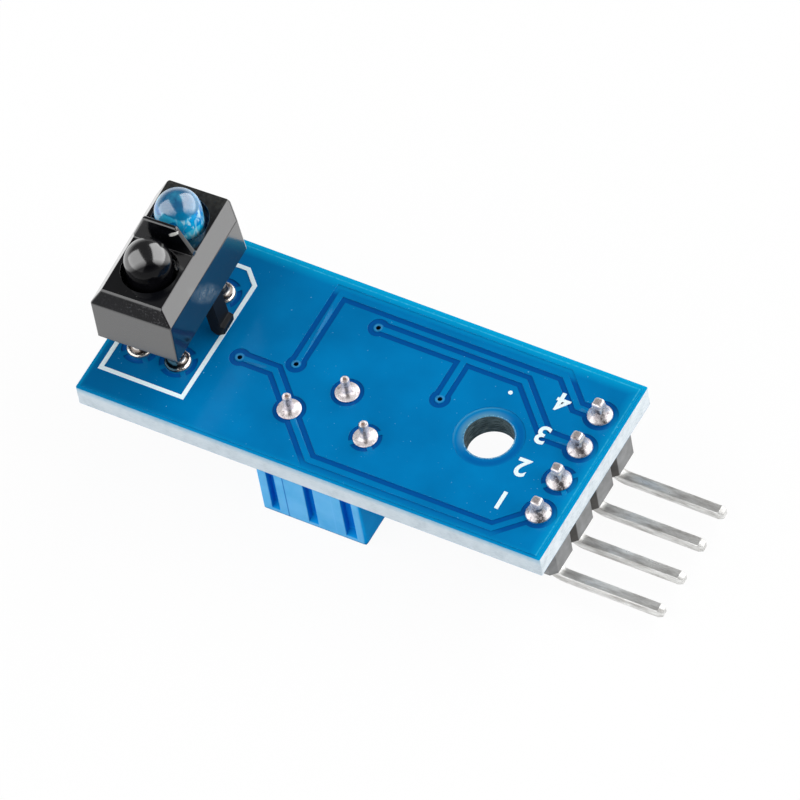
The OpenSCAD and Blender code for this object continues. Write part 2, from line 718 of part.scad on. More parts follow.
// Solder on the pad and down the plated hole
module solder_cone(pad, hole, neck, height) {
    rotate_extrude() polygon(concat(
        [[0, core_bottom], [hole / 2 - solder_gap, core_bottom], [hole / 2 - solder_gap, copper_top]],
        [for (p = fillet_outline(pad / 2, neck, height)) if (p.x > 0) p + [0, copper_top]],
        [[0, copper_top + height]]
    ));
}

module sensor_solder(i) {
    neck = 0.36;
    low = 0.6;
    color("#c9ccd2") difference() {
        translate(sensor_holes[i]) union() {
            solder_cone(sensor_pad, sensor_hole, neck, solder_height);
            translate([0, 0, component_face]) mirror([0, 0, 1]) rotate_extrude()
                polygon(fillet_outline(sensor_pad / 2, neck, low));
            translate([0, 0, component_face - low / 2])
                cylinder(r = sensor_hole / 2 - solder_gap, h = copper_thickness + low / 2 + cut);
        }
        sensor_lead(i);
    }
}

header_bottom = component_face - block_height;
pin_level = header_bottom - pin_neck - pin_bend;
pin_tip = pin_to_edge + pin_reach;

// Outline of the block: a row of cells with bevelled corners, so that a notch shows between two pins
block_outline = concat(
    [for (i = [0:pin_count - 1]) for (e = [-1, 1]) for (step = [0, 1])
        let (out = step == (e < 0 ? 1 : 0))
        header_pins[i] + [block_width / 2 - (out ? 0 : block_bevel),
            e * (pin_pitch / 2 - (out ? block_bevel : 0))]],
    [for (i = [pin_count - 1:-1:0]) for (e = [1, -1]) for (step = [0, 1])
        let (out = step == (e > 0 ? 1 : 0))
        header_pins[i] + [(out ? 0 : block_bevel) - block_width / 2,
            e * (pin_pitch / 2 - (out ? block_bevel : 0))]]
);

module header_block() {
    color("#26262a") translate([0, 0, header_bottom]) linear_extrude(block_height) difference() {
        polygon(block_outline);
        at_each(header_pins) square(pin_size, center = true);
    }
}

function arc(middle, r, from, to, steps = 8) = [for (i = [0:steps])
    let (a = from + (to - from) * i / steps) middle + r * [cos(a), sin(a)]];

// A bent pin: its side view, cut to its bevelled ends in the other two views
module header_pin_solid() {
    h = pin_size / 2;
    b = pin_bevel;
    bend = [pin_bend, pin_level + pin_bend];
    intersection() {
        rotate([90, 0, 0]) linear_extrude(pin_size, center = true) polygon(concat(
            [[b - h, pin_above], [h - b, pin_above], [h, pin_above - b]],
            arc(bend, pin_bend - h, 180, 270),
            [[pin_tip - b, pin_level + h], [pin_tip, pin_level + h - b]],
            [[pin_tip, pin_level - h + b], [pin_tip - b, pin_level - h]],
            arc(bend, pin_bend + h, 270, 180),
            [[-h, pin_above - b]]
        ));
        translate([0, 0, pin_level - 1]) linear_extrude(pin_above - pin_level + 2) polygon([
            [-h, -h], [pin_tip - b, -h], [pin_tip, b - h], [pin_tip, h - b], [pin_tip - b, h], [-h, h]
        ]);
        translate([-h - 1, 0, 0]) rotate([90, 0, 90]) linear_extrude(pin_tip + h + 2) polygon([
            [-h, pin_level - h], [h, pin_level - h], [h, pin_above - b], [h - b, pin_above],
            [b - h, pin_above], [-h, pin_above - b]
        ]);
    }
}

module header_pin(i) {
    color("#d8d9dc") translate(header_pins[i]) header_pin_solid();
}

module header_solder(i) {
    color("#c9ccd2") translate(header_pins[i]) difference() {
        solder_cone(header_pad, header_hole, pin_size * 0.72, solder_height);
        header_pin_solid();
    }
}

module trimmer_frame() {
    translate([trimmer_middle.x, trimmer_middle.y, component_face]) children();
}

// Levels inside the trimmer, counted down from the face of the board
plug_depth = base_step + base_thickness;
ceramic_depth = plug_depth + ceramic_thickness;
wiper_depth = ceramic_depth + running_clearance + wiper_thickness;
roof_depth = trimmer_height - trimmer_face;
seal_depth = roof_depth - running_clearance;
flange_depth = seal_depth - seal_section;
adjuster_depth = trimmer_height - adjuster_sink;
adjuster_bore = adjuster_head / 2 + running_clearance;
plug_room = [trimmer_length - 2 * trimmer_wall, trimmer_width - 2 * grooved_wall];

function bevelled_foot(w, h, bevel) = [
    [-w / 2, 0], [w / 2, 0], [w / 2, bevel - h], [w / 2 - bevel, -h], [bevel - w / 2, -h], [-w / 2, bevel - h]
];

module trimmer_housing() {
    slope = groove_depth * 0.5;
    color("#3f93dc") trimmer_frame() difference() {
        intersection() {
            translate([0, 0, -trimmer_height]) linear_extrude(trimmer_height)
                polygon(rounded(trimmer_length, trimmer_width, trimmer_corner));
            rotate([90, 0, 0]) linear_extrude(trimmer_width + 1, center = true)
                polygon(bevelled_foot(trimmer_length, trimmer_height, trimmer_bevel));
            rotate([90, 0, 90]) linear_extrude(trimmer_length + 1, center = true)
                polygon(bevelled_foot(trimmer_width, trimmer_height, trimmer_bevel));
        }
        translate([0, 0, -ceramic_depth]) linear_extrude(ceramic_depth + cut) plug_plan(0);
        translate([0, 0, -roof_depth]) cylinder(d = chamber_bore, h = roof_depth);
        translate([0, 0, -trimmer_height - cut]) cylinder(r = adjuster_bore, h = trimmer_height);
        for (i = [-1:1]) translate([i * trimmer_pitch, -trimmer_width / 2, 0])
            rotate([90, 0, 90]) linear_extrude(groove_width + i * groove_step, center = true) polygon([
                [-cut, cut], [groove_depth, cut], [groove_depth, groove_stop + slope - trimmer_height],
                [0, groove_stop - trimmer_height], [-cut, groove_stop - trimmer_height]
            ]);
    }
}

// Plan of the room for the plug, wide enough for a rim round each pin, and smaller all round by a clearance
module plug_plan(clearance) {
    square(plug_room - 2 * [clearance, clearance], center = true);
    at_each(trimmer_grid) circle(r = trimmer_pin / 2 + plug_rim + base_clearance - clearance);
}

module plug_plate(depth, thickness) {
    translate([0, 0, -depth]) linear_extrude(thickness) plug_plan(base_clearance);
}

module trimmer_base() {
    color("#2b5f9a") trimmer_frame() difference() {
        plug_plate(plug_depth, base_thickness);
        for (p = trimmer_grid) translate([p.x, p.y, -trimmer_height])
            cylinder(d = trimmer_pin, h = trimmer_height);
    }
}

module trimmer_ceramic() {
    color("#e8e4d8") trimmer_frame() plug_plate(ceramic_depth, ceramic_thickness);
}

module trimmer_adjuster() {
    flange = chamber_bore / 2 - running_clearance;
    color("#f2efe6") trimmer_frame() difference() {
        union() {
            translate([0, 0, -flange_depth]) cylinder(r = flange, h = flange_depth - wiper_depth);
            translate([0, 0, -adjuster_depth])
                cylinder(d = adjuster_head, h = adjuster_depth - flange_depth + 0.1);
        }
        translate([0, 0, -adjuster_depth])
            cube([driver_slot_length, driver_slot_width, 2 * driver_slot_depth], center = true);
        translate([driver_slot_length / 2 - 0.3, 0, -adjuster_depth])
            cylinder(d = 1, h = driver_slot_depth, center = true, $fn = 3);
    }
}

// The wiper: a sprung disc with its contact arm, turned by the adjuster
module trimmer_wiper() {
    color("#c7a252") trimmer_frame() translate([0, 0, -wiper_depth]) linear_extrude(wiper_thickness)
        difference() {
            circle(d = chamber_bore - 0.8);
            translate([0, 0.35]) square([2.4, 0.3], center = true);
            translate([0, -0.35]) square([2.4, 0.3], center = true);
        }
}

module trimmer_seal() {
    color("#2c2c2c") trimmer_frame() translate([0, 0, seal_section / 2 - seal_depth]) rotate_extrude()
        translate([adjuster_bore + seal_section / 2, 0]) circle(d = seal_section, $fn = 24);
}

module trimmer_pin_solid() {
    bottom = component_face - plug_depth;
    translate([0, 0, bottom]) cylinder(d = trimmer_pin, h = trimmer_pin_above - bottom);
}

module trimmer_pin(i) {
    color("#d8d9dc") translate(trimmer_pins[i]) trimmer_pin_solid();
}

module trimmer_solder(i) {
    color("#c9ccd2") translate(trimmer_pins[i]) difference() {
        solder_cone(trimmer_pad, trimmer_hole, trimmer_pin * 0.72, collar_height);
        trimmer_pin_solid();
    }
}

module comparator_frame() {
    translate([comparator_middle.x, comparator_middle.y, component_face]) mirror([0, 0, 1]) children();
}

// A moulded side that widens to its parting line and narrows again
function moulded_side(w) = [
    [chip_draught - w / 2, 0], [w / 2 - chip_draught, 0], [w / 2, chip_thickness / 2],
    [w / 2 - chip_draught, chip_thickness], [chip_draught - w / 2, chip_thickness], [-w / 2, chip_thickness / 2]
];

module comparator() {
    color("#222326") comparator_frame() translate([0, 0, chip_standoff]) difference() {
        intersection() {
            rotate([90, 0, 0]) linear_extrude(chip_length, center = true) polygon(moulded_side(chip_width));
            rotate([90, 0, 90]) linear_extrude(chip_width, center = true) polygon(moulded_side(chip_length));
        }
        translate([0.75 - chip_width / 2, chip_length / 2 - 0.75, chip_thickness - 0.1])
            cylinder(d = chip_dimple, h = cut);
        for (s = [-1, 1]) for (k = [0:3]) lead_socket(s, k);
    }
}

// Side view of a comparator lead: out of the body, down and along the board
function chip_lead_path(s) = let (
    half = chip_lead_thickness / 2,
    exit = chip_standoff + chip_thickness / 2,
    knee = chip_span / 2 - chip_foot - 0.1
) [
    [s * (chip_width / 2 - 0.4), exit], [s * knee, exit], [s * (knee + 0.12), half], [s * chip_span / 2, half]
];

module chip_lead(s, k) {
    translate([0, (k - 1.5) * chip_pitch, 0]) rotate([90, 0, 0]) linear_extrude(chip_lead_width, center = true)
        polygon(line_outline(chip_lead_path(s), chip_lead_thickness));
}

module lead_socket(s, k) {
    translate([0, 0, -chip_standoff]) chip_lead(s, k);
}

module comparator_lead(i) {
    color("#d8d9dc") comparator_frame() chip_lead(i < 4 ? -1 : 1, i % 4);
}

// A chip part: its body between two metal ends that stand a little proud
module chip_part(part, thickness) {
    translate([part[0].x, part[0].y, component_face - thickness]) rotate(90 * part[1]) {
        translate([-chip_part_length / 2, -chip_part_width / 2 + metal_lip, metal_lip])
            cube([chip_part_length, chip_part_width - 2 * metal_lip, thickness - metal_lip]);
        for (s = [-1, 1]) translate([s * (chip_part_length - metal_end) / 2, 0, thickness / 2])
            cube([metal_end, chip_part_width, thickness], center = true);
    }
}

module resistor(i) {
    color("#2d2d30") chip_part(resistors[i], resistor_thickness);
}

module capacitor(i) {
    color("#b08a62") chip_part(capacitors[i], capacitor_thickness);
}

module lamp_base(i) {
    color("#e9e6dc") translate([lamps[i][0].x, lamps[i][0].y, component_face - lamp_base_thickness / 2])
        rotate(90 * lamps[i][1]) cube([lamp_length, lamp_width, lamp_base_thickness], center = true);
}

// A lamp's lens: a moulded block with sloping ends
module lamp_lens(i) {
    foot = lamp_length * 0.62;
    top = foot - 0.2;
    color(i == 0 ? "#e2483c" : "#57c66a")
        translate([lamps[i][0].x, lamps[i][0].y, component_face - lamp_base_thickness])
        rotate([90, 0, 90 * lamps[i][1]]) linear_extrude(lamp_width - 0.1, center = true) polygon([
            [-foot / 2, 0], [foot / 2, 0], [top / 2, -lamp_lens_height], [-top / 2, -lamp_lens_height]
        ]);
}

circuit_board();
sensor_side_copper();
component_side_copper();
sensor_side_print();
component_side_print();
sensor_housing();
emitter();
detector();
for (i = [0:3]) {
    sensor_lead(i);
    sensor_solder(i);
    header_pin(i);
    header_solder(i);
}
header_block();
trimmer_housing();
trimmer_base();
trimmer_ceramic();
trimmer_adjuster();
trimmer_wiper();
trimmer_seal();
for (i = [0:2]) {
    trimmer_pin(i);
    trimmer_solder(i);
}
comparator();
for (i = [0:7]) {
    comparator_lead(i);
}
for (i = [0:4]) {
    resistor(i);
}
for (i = [0:1]) {
    capacitor(i);
}
lamp_base(0);  // power_lamp_base
lamp_lens(0);  // power_lamp_lens
lamp_base(1);  // output_lamp_base
lamp_lens(1);  // output_lamp_lens
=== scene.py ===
import math

import bpy
import bmesh
import numpy as np
from mathutils import Matrix, Vector


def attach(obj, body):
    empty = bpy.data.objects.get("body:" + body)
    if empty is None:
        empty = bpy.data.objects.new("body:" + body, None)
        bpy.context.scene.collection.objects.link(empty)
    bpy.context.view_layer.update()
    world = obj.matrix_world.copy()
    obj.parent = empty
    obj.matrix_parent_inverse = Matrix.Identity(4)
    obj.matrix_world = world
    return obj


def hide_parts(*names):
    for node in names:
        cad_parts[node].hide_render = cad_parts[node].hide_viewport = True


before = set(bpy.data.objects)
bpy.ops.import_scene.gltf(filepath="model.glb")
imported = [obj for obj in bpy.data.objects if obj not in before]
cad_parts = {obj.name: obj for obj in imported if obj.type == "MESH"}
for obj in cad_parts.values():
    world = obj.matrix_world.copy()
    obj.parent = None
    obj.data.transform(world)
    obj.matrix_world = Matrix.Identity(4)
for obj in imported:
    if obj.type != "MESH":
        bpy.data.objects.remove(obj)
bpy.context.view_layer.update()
mm = 0.001
print("frame loaded:", len(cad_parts), "CAD nodes")


# Photograph's camera: a long lens, held with a roll. Its right and up directions are in the part's axes
cameraSetup = {
    "place": (0.24988, -0.332145, 0.557944),
    "right": (0.8725841, 0.4740231, -0.1178943),
    "up": (-0.3227249, 0.740643, 0.5893187),
    "lens": 538.97,
    "sensor": 36.0,
    "clip": (0.01, 20),
}


def addCamera(c):
    right = Vector(c["right"]).normalized()
    up = Vector(c["up"])
    up = (up - right * up.dot(right)).normalized()
    back = right.cross(up)
    data = bpy.data.cameras.new("photoCamera")
    data.lens = c["lens"]
    data.sensor_width = c["sensor"]
    data.clip_start, data.clip_end = c["clip"]
    camera = bpy.data.objects.new("photoCamera", data)
    turn = Matrix((right, up, back)).transposed().to_4x4()
    camera.matrix_world = Matrix.Translation(c["place"]) @ turn
    bpy.context.scene.collection.objects.link(camera)
    bpy.context.scene.camera = camera


addCamera(cameraSetup)
bpy.context.scene.view_settings.view_transform = "Standard"
print("camera placed")


# Node trees. A nodeValue is one output of a node, and sums and products of them are Math nodes, so that a
# formula reads as one. Colours are given as on the screen, 0 to 255, and lengths in millimetres
class nodeValue:
    def __init__(self, tree, socket):
        self.tree = tree
        self.socket = socket

    def __add__(self, other):
        return calc("ADD", self, other)

    def __sub__(self, other):
        return calc("SUBTRACT", self, other)

    def __rsub__(self, other):
        return calc("SUBTRACT", other, self)

    def __mul__(self, other):
        return calc("MULTIPLY", self, other)

    def __truediv__(self, other):
        return calc("DIVIDE", self, other)

    def __abs__(self):
        return calc("ABSOLUTE", self)

    __radd__ = __add__
    __rmul__ = __mul__


def addNode(tree, kind, sockets=None, **settings):
    # a number or colour is set on its socket, and a nodeValue is linked to it
    node = tree.nodes.new(kind)
    for key, value in settings.items():
        setattr(node, key, value)
    for key, value in (sockets or {}).items():
        if isinstance(value, nodeValue):
            tree.links.new(value.socket, node.inputs[key])
        else:
            node.inputs[key].default_value = value
    return node


def outputOf(tree, kind, name, sockets=None, **settings):
    return nodeValue(tree, addNode(tree, kind, sockets, **settings).outputs[name])


def calc(operation, a, b=0.0):
    tree = a.tree if isinstance(a, nodeValue) else b.tree
    return outputOf(tree, "ShaderNodeMath", 0, {0: a, 1: b}, operation=operation)


def most(first, *others):
    for other in others:
        first = calc("MAXIMUM", first, other)
    return first


def least(first, *others):
    for other in others:
        first = calc("MINIMUM", first, other)
    return first


def between(value, low, high, first=0.0, last=1.0):
    # first below low, last above high, straight between them
    return outputOf(value.tree, "ShaderNodeMapRange", 0, {
        "Value": value, "From Min": low, "From Max": high, "To Min": first, "To Max": last}, clamp=True)


def below(value, low, high):
    return between(value, low, high, 1.0, 0.0)


def fromMiddle(x, y):
    return calc("SQRT", x * x + y * y)


def along(x, y, turn):
    # distance in the direction of that angle
    return x * math.cos(math.radians(turn)) + y * math.sin(math.radians(turn))


def axes(vector, scale=None):
    parts = addNode(vector.tree, "ShaderNodeSeparateXYZ", {"Vector": vector}).outputs
    parts = [nodeValue(vector.tree, part) for part in parts]
    return [part * scale for part in parts] if scale else parts


def inMillimetres(place):
    return axes(place, 1 / mm)


def stretched(place, stretch):
    return outputOf(place.tree, "ShaderNodeMapping", "Vector", {"Vector": place, "Scale": stretch})


def noise(place, size, detail=3.0, stretch=(1, 1, 1), roughness=0.5, distortion=0.0):
    # size is the width of one patch
    return outputOf(place.tree, "ShaderNodeTexNoise", "Fac", {
        "Vector": stretched(place, stretch), "Scale": 1 / (size * mm), "Detail": detail,
        "Roughness": roughness, "Distortion": distortion})


def linear(tint):
    # a screen colour as the linear one that a shader takes
    c = np.array(tint, float) / 255
    c = np.where(c <= 0.04045, c / 12.92, ((c + 0.055) / 1.055) ** 2.4)
    return (*c.tolist(), 1.0)


def ramp(value, *stops):
    # each stop is a level and its colour
    node = addNode(value.tree, "ShaderNodeValToRGB", {"Fac": value})
    line = node.color_ramp
    while len(line.elements) < len(stops):
        line.elements.new(0.5)
    for element, (at, tint) in zip(line.elements, stops):
        element.position = at
        element.color = linear(tint)
    return nodeValue(value.tree, node.outputs["Color"])


def painted(under, over, share):
    # the second colour laid over the first, by a share from 0 to 1
    a, b = (tint if isinstance(tint, nodeValue) else linear(tint) for tint in (under, over))
    return outputOf(share.tree, "ShaderNodeMix", 2, {0: share, 6: a, 7: b}, data_type="RGBA")


def newMaterial(name, **sockets):
    # gives the material, its shader and the object's coordinates. In a socket's name _ stands for a space
    made = bpy.data.materials.new(name)
    made.use_nodes = True
    shader = made.node_tree.nodes["Principled BSDF"]
    for key, value in sockets.items():
        shader.inputs[key.replace("_", " ")].default_value = value
    return made, shader, outputOf(made.node_tree, "ShaderNodeTexCoord", "Object")


def feed(shader, **sockets):
    for key, value in sockets.items():
        value.tree.links.new(value.socket, shader.inputs[key.replace("_", " ")])


def relief(shader, height, depth, strength):
    feed(shader, Normal=outputOf(height.tree, "ShaderNodeBump", "Normal", {
        "Height": height, "Distance": depth * mm, "Strength": strength}))


# Studio: a white sweep, two large soft boxes, and a room that is white round the horizon and dim overhead
studio = {
    "floorLevel": -0.00634,
    "floorRadius": 0.3,
    "floorSides": 96,
    "paperGlow": 0.94,
    "boxes": (
        # name, direction from the object, distance, width, height, watts for each square metre
        ("leftBox", (-0.56, -0.72, 0.44), 0.60, 1.30, 1.05, 5.8),
        ("rightBox", (0.66, 0.62, 0.38), 0.60, 1.50, 1.00, 7.8),
    ),
    "horizon": 0.5,
    "overhead": 0.1,
    "fade": (0.04, 0.3),
}


def addRoom(s):
    # the camera sees white
    world = bpy.data.worlds.new("studio")
    bpy.context.scene.world = world
    world.use_nodes = True
    tree = world.node_tree
    tree.nodes.clear()
    height = axes(outputOf(tree, "ShaderNodeTexCoord", "Generated"))[2]
    level = between(height, *s["fade"], s["horizon"], s["overhead"])
    level = most(level, outputOf(tree, "ShaderNodeLightPath", "Is Camera Ray"))
    room = outputOf(tree, "ShaderNodeBackground", 0, {"Color": level, "Strength": 1.0})
    addNode(tree, "ShaderNodeOutputWorld", {"Surface": room})


def addBoxes(s):
    for name, direction, distance, width, tall, power in s["boxes"]:
        light = bpy.data.lights.new(name, "AREA")
        light.shape = "RECTANGLE"
        light.size = width
        light.size_y = tall
        light.energy = power * width * tall
        lamp = bpy.data.objects.new(name, light)
        away = Vector(direction).normalized()
        turn = away.to_track_quat("Z", "Y").to_matrix().to_4x4()
        lamp.matrix_world = Matrix.Translation(away * distance) @ turn
        bpy.context.scene.collection.objects.link(lamp)


def paperMaterial(s):
    # white to the camera and in reflections, and clear to a camera below it
    paper, shader, _ = newMaterial("whitePaper", Roughness=0.9, Base_Color=(0.86, 0.86, 0.86, 1),
                                   Specular_IOR_Level=0.0)
    tree = paper.node_tree
    rays = addNode(tree, "ShaderNodeLightPath").outputs
    camera, glossy, through = [
        nodeValue(tree, rays[name]) for name in ("Is Camera Ray", "Is Glossy Ray", "Is Transmission Ray")]
    glow = outputOf(tree, "ShaderNodeEmission", 0, {"Color": (1, 1, 1, 1), "Strength": 1.0})
    share = most(camera, glossy, through) * s["paperGlow"]
    plain = nodeValue(tree, shader.outputs[0])
    mixed = outputOf(tree, "ShaderNodeMixShader", 0, {0: share, 1: plain, 2: glow})
    under = camera * outputOf(tree, "ShaderNodeNewGeometry", "Backfacing")
    clear = outputOf(tree, "ShaderNodeBsdfTransparent", 0)
    mixed = outputOf(tree, "ShaderNodeMixShader", 0, {0: under, 1: mixed, 2: clear})
    tree.links.new(mixed.socket, tree.nodes["Material Output"].inputs["Surface"])
    return paper


def fullTurn(around):
    # that many angles round a full turn
    return np.linspace(0, 2 * math.pi, around + 1)[:-1]


def addFloor(s):
    # a flat disc, with its points on a circle round the origin
    count = s["floorSides"]
    a = fullTurn(count)
    verts = np.stack([np.cos(a) * s["floorRadius"], np.sin(a) * s["floorRadius"],
                      np.full(count, s["floorLevel"])], 1)
    mesh = bpy.data.meshes.new("floor")
    mesh.from_pydata(verts.tolist(), [], [list(range(count))])
    mesh.materials.append(paperMaterial(s))
    floor = bpy.data.objects.new("floor", mesh)
    bpy.context.scene.collection.objects.link(floor)


addRoom(studio)
addBoxes(studio)
addFloor(studio)
print("studio built")


# Mesh helpers. Points are in millimetres until they go into a mesh. The limits are in metres and degrees
meshLimits = {"merge": 1e-8, "mergeCopy": 2e-7, "flat": 0.5}


def finishPiece(piece, body, material, replaced=()):
    piece.data.materials.clear()
    piece.data.materials.append(material)
    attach(piece, body)
    if replaced:
        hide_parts(*replaced)


def meshObject(name, verts, faces, smooth=True):
    # merged and turned outward, so that seams and poles are closed
    mesh = bpy.data.meshes.new(name)
    mesh.from_pydata((verts * mm).tolist(), [], faces)
    work = bmesh.new()
    work.from_mesh(mesh)
    bmesh.ops.remove_doubles(work, verts=work.verts, dist=meshLimits["merge"])
    bmesh.ops.recalc_face_normals(work, faces=work.faces)
    work.to_mesh(mesh)
    work.free()
    if smooth:
        mesh.shade_smooth()
    else:
        mesh.shade_flat()
    piece = bpy.data.objects.new(name, mesh)
    bpy.context.scene.collection.objects.link(piece)
    return piece


def tubeFaces(rows, around, first=0):
    # quads between neighbouring rings, and a flat cap on the first and the last ring
    i = np.arange(rows - 1)[:, None]
    j = np.arange(around)[None, :]
    a = i * around + j
    b = i * around + (j + 1) % around
    quads = (np.stack([a, b, b + around, a + around], -1).reshape(-1, 4) + first).tolist()
    last = first + (rows - 1) * around
    return quads + [list(range(first, first + around))[::-1], list(range(last, last + around))]


def tubes(name, rings, smooth=True):
    # rings: a list of arrays (rows, around, 3), each a closed tube; all become one object
    verts = []
    faces = []
    first = 0
    for r in rings:
        faces += tubeFaces(r.shape[0], r.shape[1], first)
        verts.append(r.reshape(-1, 3))
        first += r.shape[0] * r.shape[1]
    return meshObject(name, np.concatenate(verts), faces, smooth)


def revolved(profile, middle, around, wobble):
    # a point at radius r and height z goes to (x + r cos a, y + r sin a, z); wobble(a, t) scales r
    profile = np.asarray(profile, float)
    a = fullTurn(around)
    t = np.linspace(0, 1, len(profile))
    r = profile[:, :1] * wobble(a[None, :], t[:, None])
    return np.stack([middle[0] + r * np.cos(a), middle[1] + r * np.sin(a),
                     np.broadcast_to(profile[:, 1:], r.shape)], -1)


def smoothLine(points, steps):
    # points on a Catmull-Rom curve through the given ones
    p = np.asarray(points, float)
    p = np.concatenate([[2 * p[0] - p[1]], p, [2 * p[-1] - p[-2]]])
    t = np.linspace(0, 1, steps + 1)[:-1][:, None]
    out = []
    for k in range(len(p) - 3):
        a, b, c, d = p[k:k + 4]
        out.append(0.5 * (2 * b + (c - a) * t + (2 * a - 5 * b + 4 * c - d) * t * t
                          + (3 * b - a - 3 * c + d) * t ** 3))
    return np.concatenate(out + [p[-2:-1]])


def softenedCopy(node, name, width, segments=2, angle=25, share=None):
    # the node's own shape with its edges rounded: doubles merged, flat faces joined, then a bevel.
    # share(middle, length) says how much of the width an edge gets, by its place
    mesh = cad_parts[node].data.copy()
    mesh.name = name
    work = bmesh.new()
    work.from_mesh(mesh)
    bmesh.ops.remove_doubles(work, verts=work.verts, dist=meshLimits["mergeCopy"])
    bmesh.ops.dissolve_limit(work, angle_limit=math.radians(meshLimits["flat"]), verts=work.verts,
                             edges=work.edges)
    bmesh.ops.recalc_face_normals(work, faces=work.faces)
    if share is not None:
        layer = work.edges.layers.float.new("bevel_weight_edge")
        for edge in work.edges:
            if len(edge.link_faces) == 2 and edge.calc_face_angle(0) > math.radians(angle):
                a, b = (v.co / mm for v in edge.verts)
                edge[layer] = share((a + b) / 2, (a - b).length)
    work.to_mesh(mesh)
    work.free()
    if "custom_normal" in mesh.attributes:
        mesh.attributes.remove(mesh.attributes["custom_normal"])
    piece = bpy.data.objects.new(name, mesh)
    bpy.context.scene.collection.objects.link(piece)
    mesh.shade_smooth()
    bevel = piece.modifiers.new("round", "BEVEL")
    bevel.width = width * mm
    bevel.segments = segments
    bevel.limit_method = "ANGLE" if share is None else "WEIGHT"
    bevel.angle_limit = math.radians(angle)
    bevel.harden_normals = True
    bevel.use_clamp_overlap = share is None
    return piece


def dress(node, material):
    # a CAD node that keeps its shape gets its finish in its own slots
    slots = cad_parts[node].data.materials
    if not slots:
        slots.append(material)
    for k in range(len(slots)):
        slots[k] = material


def dressRow(name, count, material):
    for k in range(count):
        dress("%s_%d" % (name, k + 1), material)


# Middles of the pins, which the numerals and the joints share
pinRow = [(5.25, -3.66 + k * 2.54) for k in range(4)]


# Board: fibre core with its drilled and cut walls, blue lacquer where it shows between the copper
board = {
    "free": -24.15, "header": 6.85, "near": -6.6, "far": 6.9, "core": -1.5, "hole": 1.5,
    "mask": (0, 117, 178), "moat": (0, 79, 150), "lit": (0, 163, 212),
    "fibre": (204, 213, 219), "fibreDark": (158, 170, 178), "holeWall": (60, 78, 84),
    "glow": 1.1, "line": 0.36, "edge": 0.03, "shadeNearSensor": (-20.5, -15.5),
    "vias": ((-16.25, -0.8), (-12.95, 0.1), (-9.75, 4.36), (-3.95, 1.25)), "viaBore": 0.15,
    # side, how far the light from the cut edge reaches in, how strong it is at the edge
    "edgeLight": (("far", 1.0, 1.0), ("header", 0.9, 0.62), ("near", 0.45, 0.3), ("free", 0.35, 0.5)),
}


def insideOf(x, y, b, side):
    # distance from one edge of the board, measured inwards
    across = x if side in ("free", "header") else y
    return across - b[side] if side in ("free", "near") else b[side] - across


def edgeLit(x, y, b, tint):
    # light that enters at the cut edges brightens the lacquer beside them
    share = most(*(strength * below(insideOf(x, y, b, side), 0.0, reach)
                   for side, reach, strength in b["edgeLight"]))
    return painted(tint, b["lit"], share)


def viaDistance(x, y, b):
    # distance from the middle of the nearest via
    return least(*(fromMiddle(x - vx, y - vy) for vx, vy in b["vias"]))


def lacquerMaterial(b):
    made, shader, place = newMaterial("blueLacquer", Roughness=0.2, Specular_IOR_Level=0.12)
    x, y, _ = inMillimetres(place)
    tint = ramp(noise(place, 4.5), (0.3, (0, 107, 165)), (0.5, (0, 114, 174)), (0.72, (0, 122, 183)))
    # painted shade: darker towards the sensor, where the housing shades the lacquer
    tint = painted(tint, (0, 88, 143), 0.65 * below(x, *b["shadeNearSensor"]))
    tint = edgeLit(x, y, b, tint)
    ring = below(viaDistance(x, y, b), b["viaBore"] + 0.07, b["viaBore"] + 0.14)
    tint = painted(tint, (140, 204, 226), 0.12 * ring)
    speck = between(noise(place, 0.16, 2.0), 0.735, 0.77)
    tint = painted(tint, (120, 190, 226), 0.5 * speck)
    # pale broken line where the lacquer thins over the edge of the copper, at the far and the header's edge
    away = abs(least(insideOf(x, y, b, "far"), insideOf(x, y, b, "header")) - b["line"])
    thin = below(away, 0.02, 0.06) * between(noise(place, 0.2, 4.0), 0.3, 0.75)
    tint = painted(tint, (80, 196, 228), 0.5 * thin)
    feed(shader, Base_Color=tint)
    relief(shader, noise(place, 0.5, 2.0), 0.012, 0.25)
    return made


def holeTint(x, y, b, tint):
    # round the fixing hole: pale on the lit side, a painted highlight where the lacquer is thin, and a soft
    # dark band on the other side, the moat shown there only as painted shade. side is the cosine of the
    # angle from the lit side, and out the distance from the hole's wall
    radius = fromMiddle(x, y)
    side = (y * 0.47 - x * 0.88) / most(radius, 1.0)
    out = radius - b["hole"]
    ring = below(out, 0.7, 0.8)
    tint = painted(tint, b["mask"], ring)
    band = between(out, 0.0, 0.3) * below(out, 0.45, 0.7) * below(side, -0.3, 0.7)
    tint = painted(tint, (0, 84, 154), 0.75 * band)
    pale = below(out, 0.05, 0.45) * between(side, 0.0, 0.9)
    tint = painted(tint, (112, 154, 164), 0.7 * pale)
    # painted highlight: a thin pale arc on the ring's outer edge, on the lit side
    arc = between(out, 0.5, 0.62) * between(side, 0.2, 0.9) * ring
    return painted(tint, (90, 180, 214), 0.45 * arc)


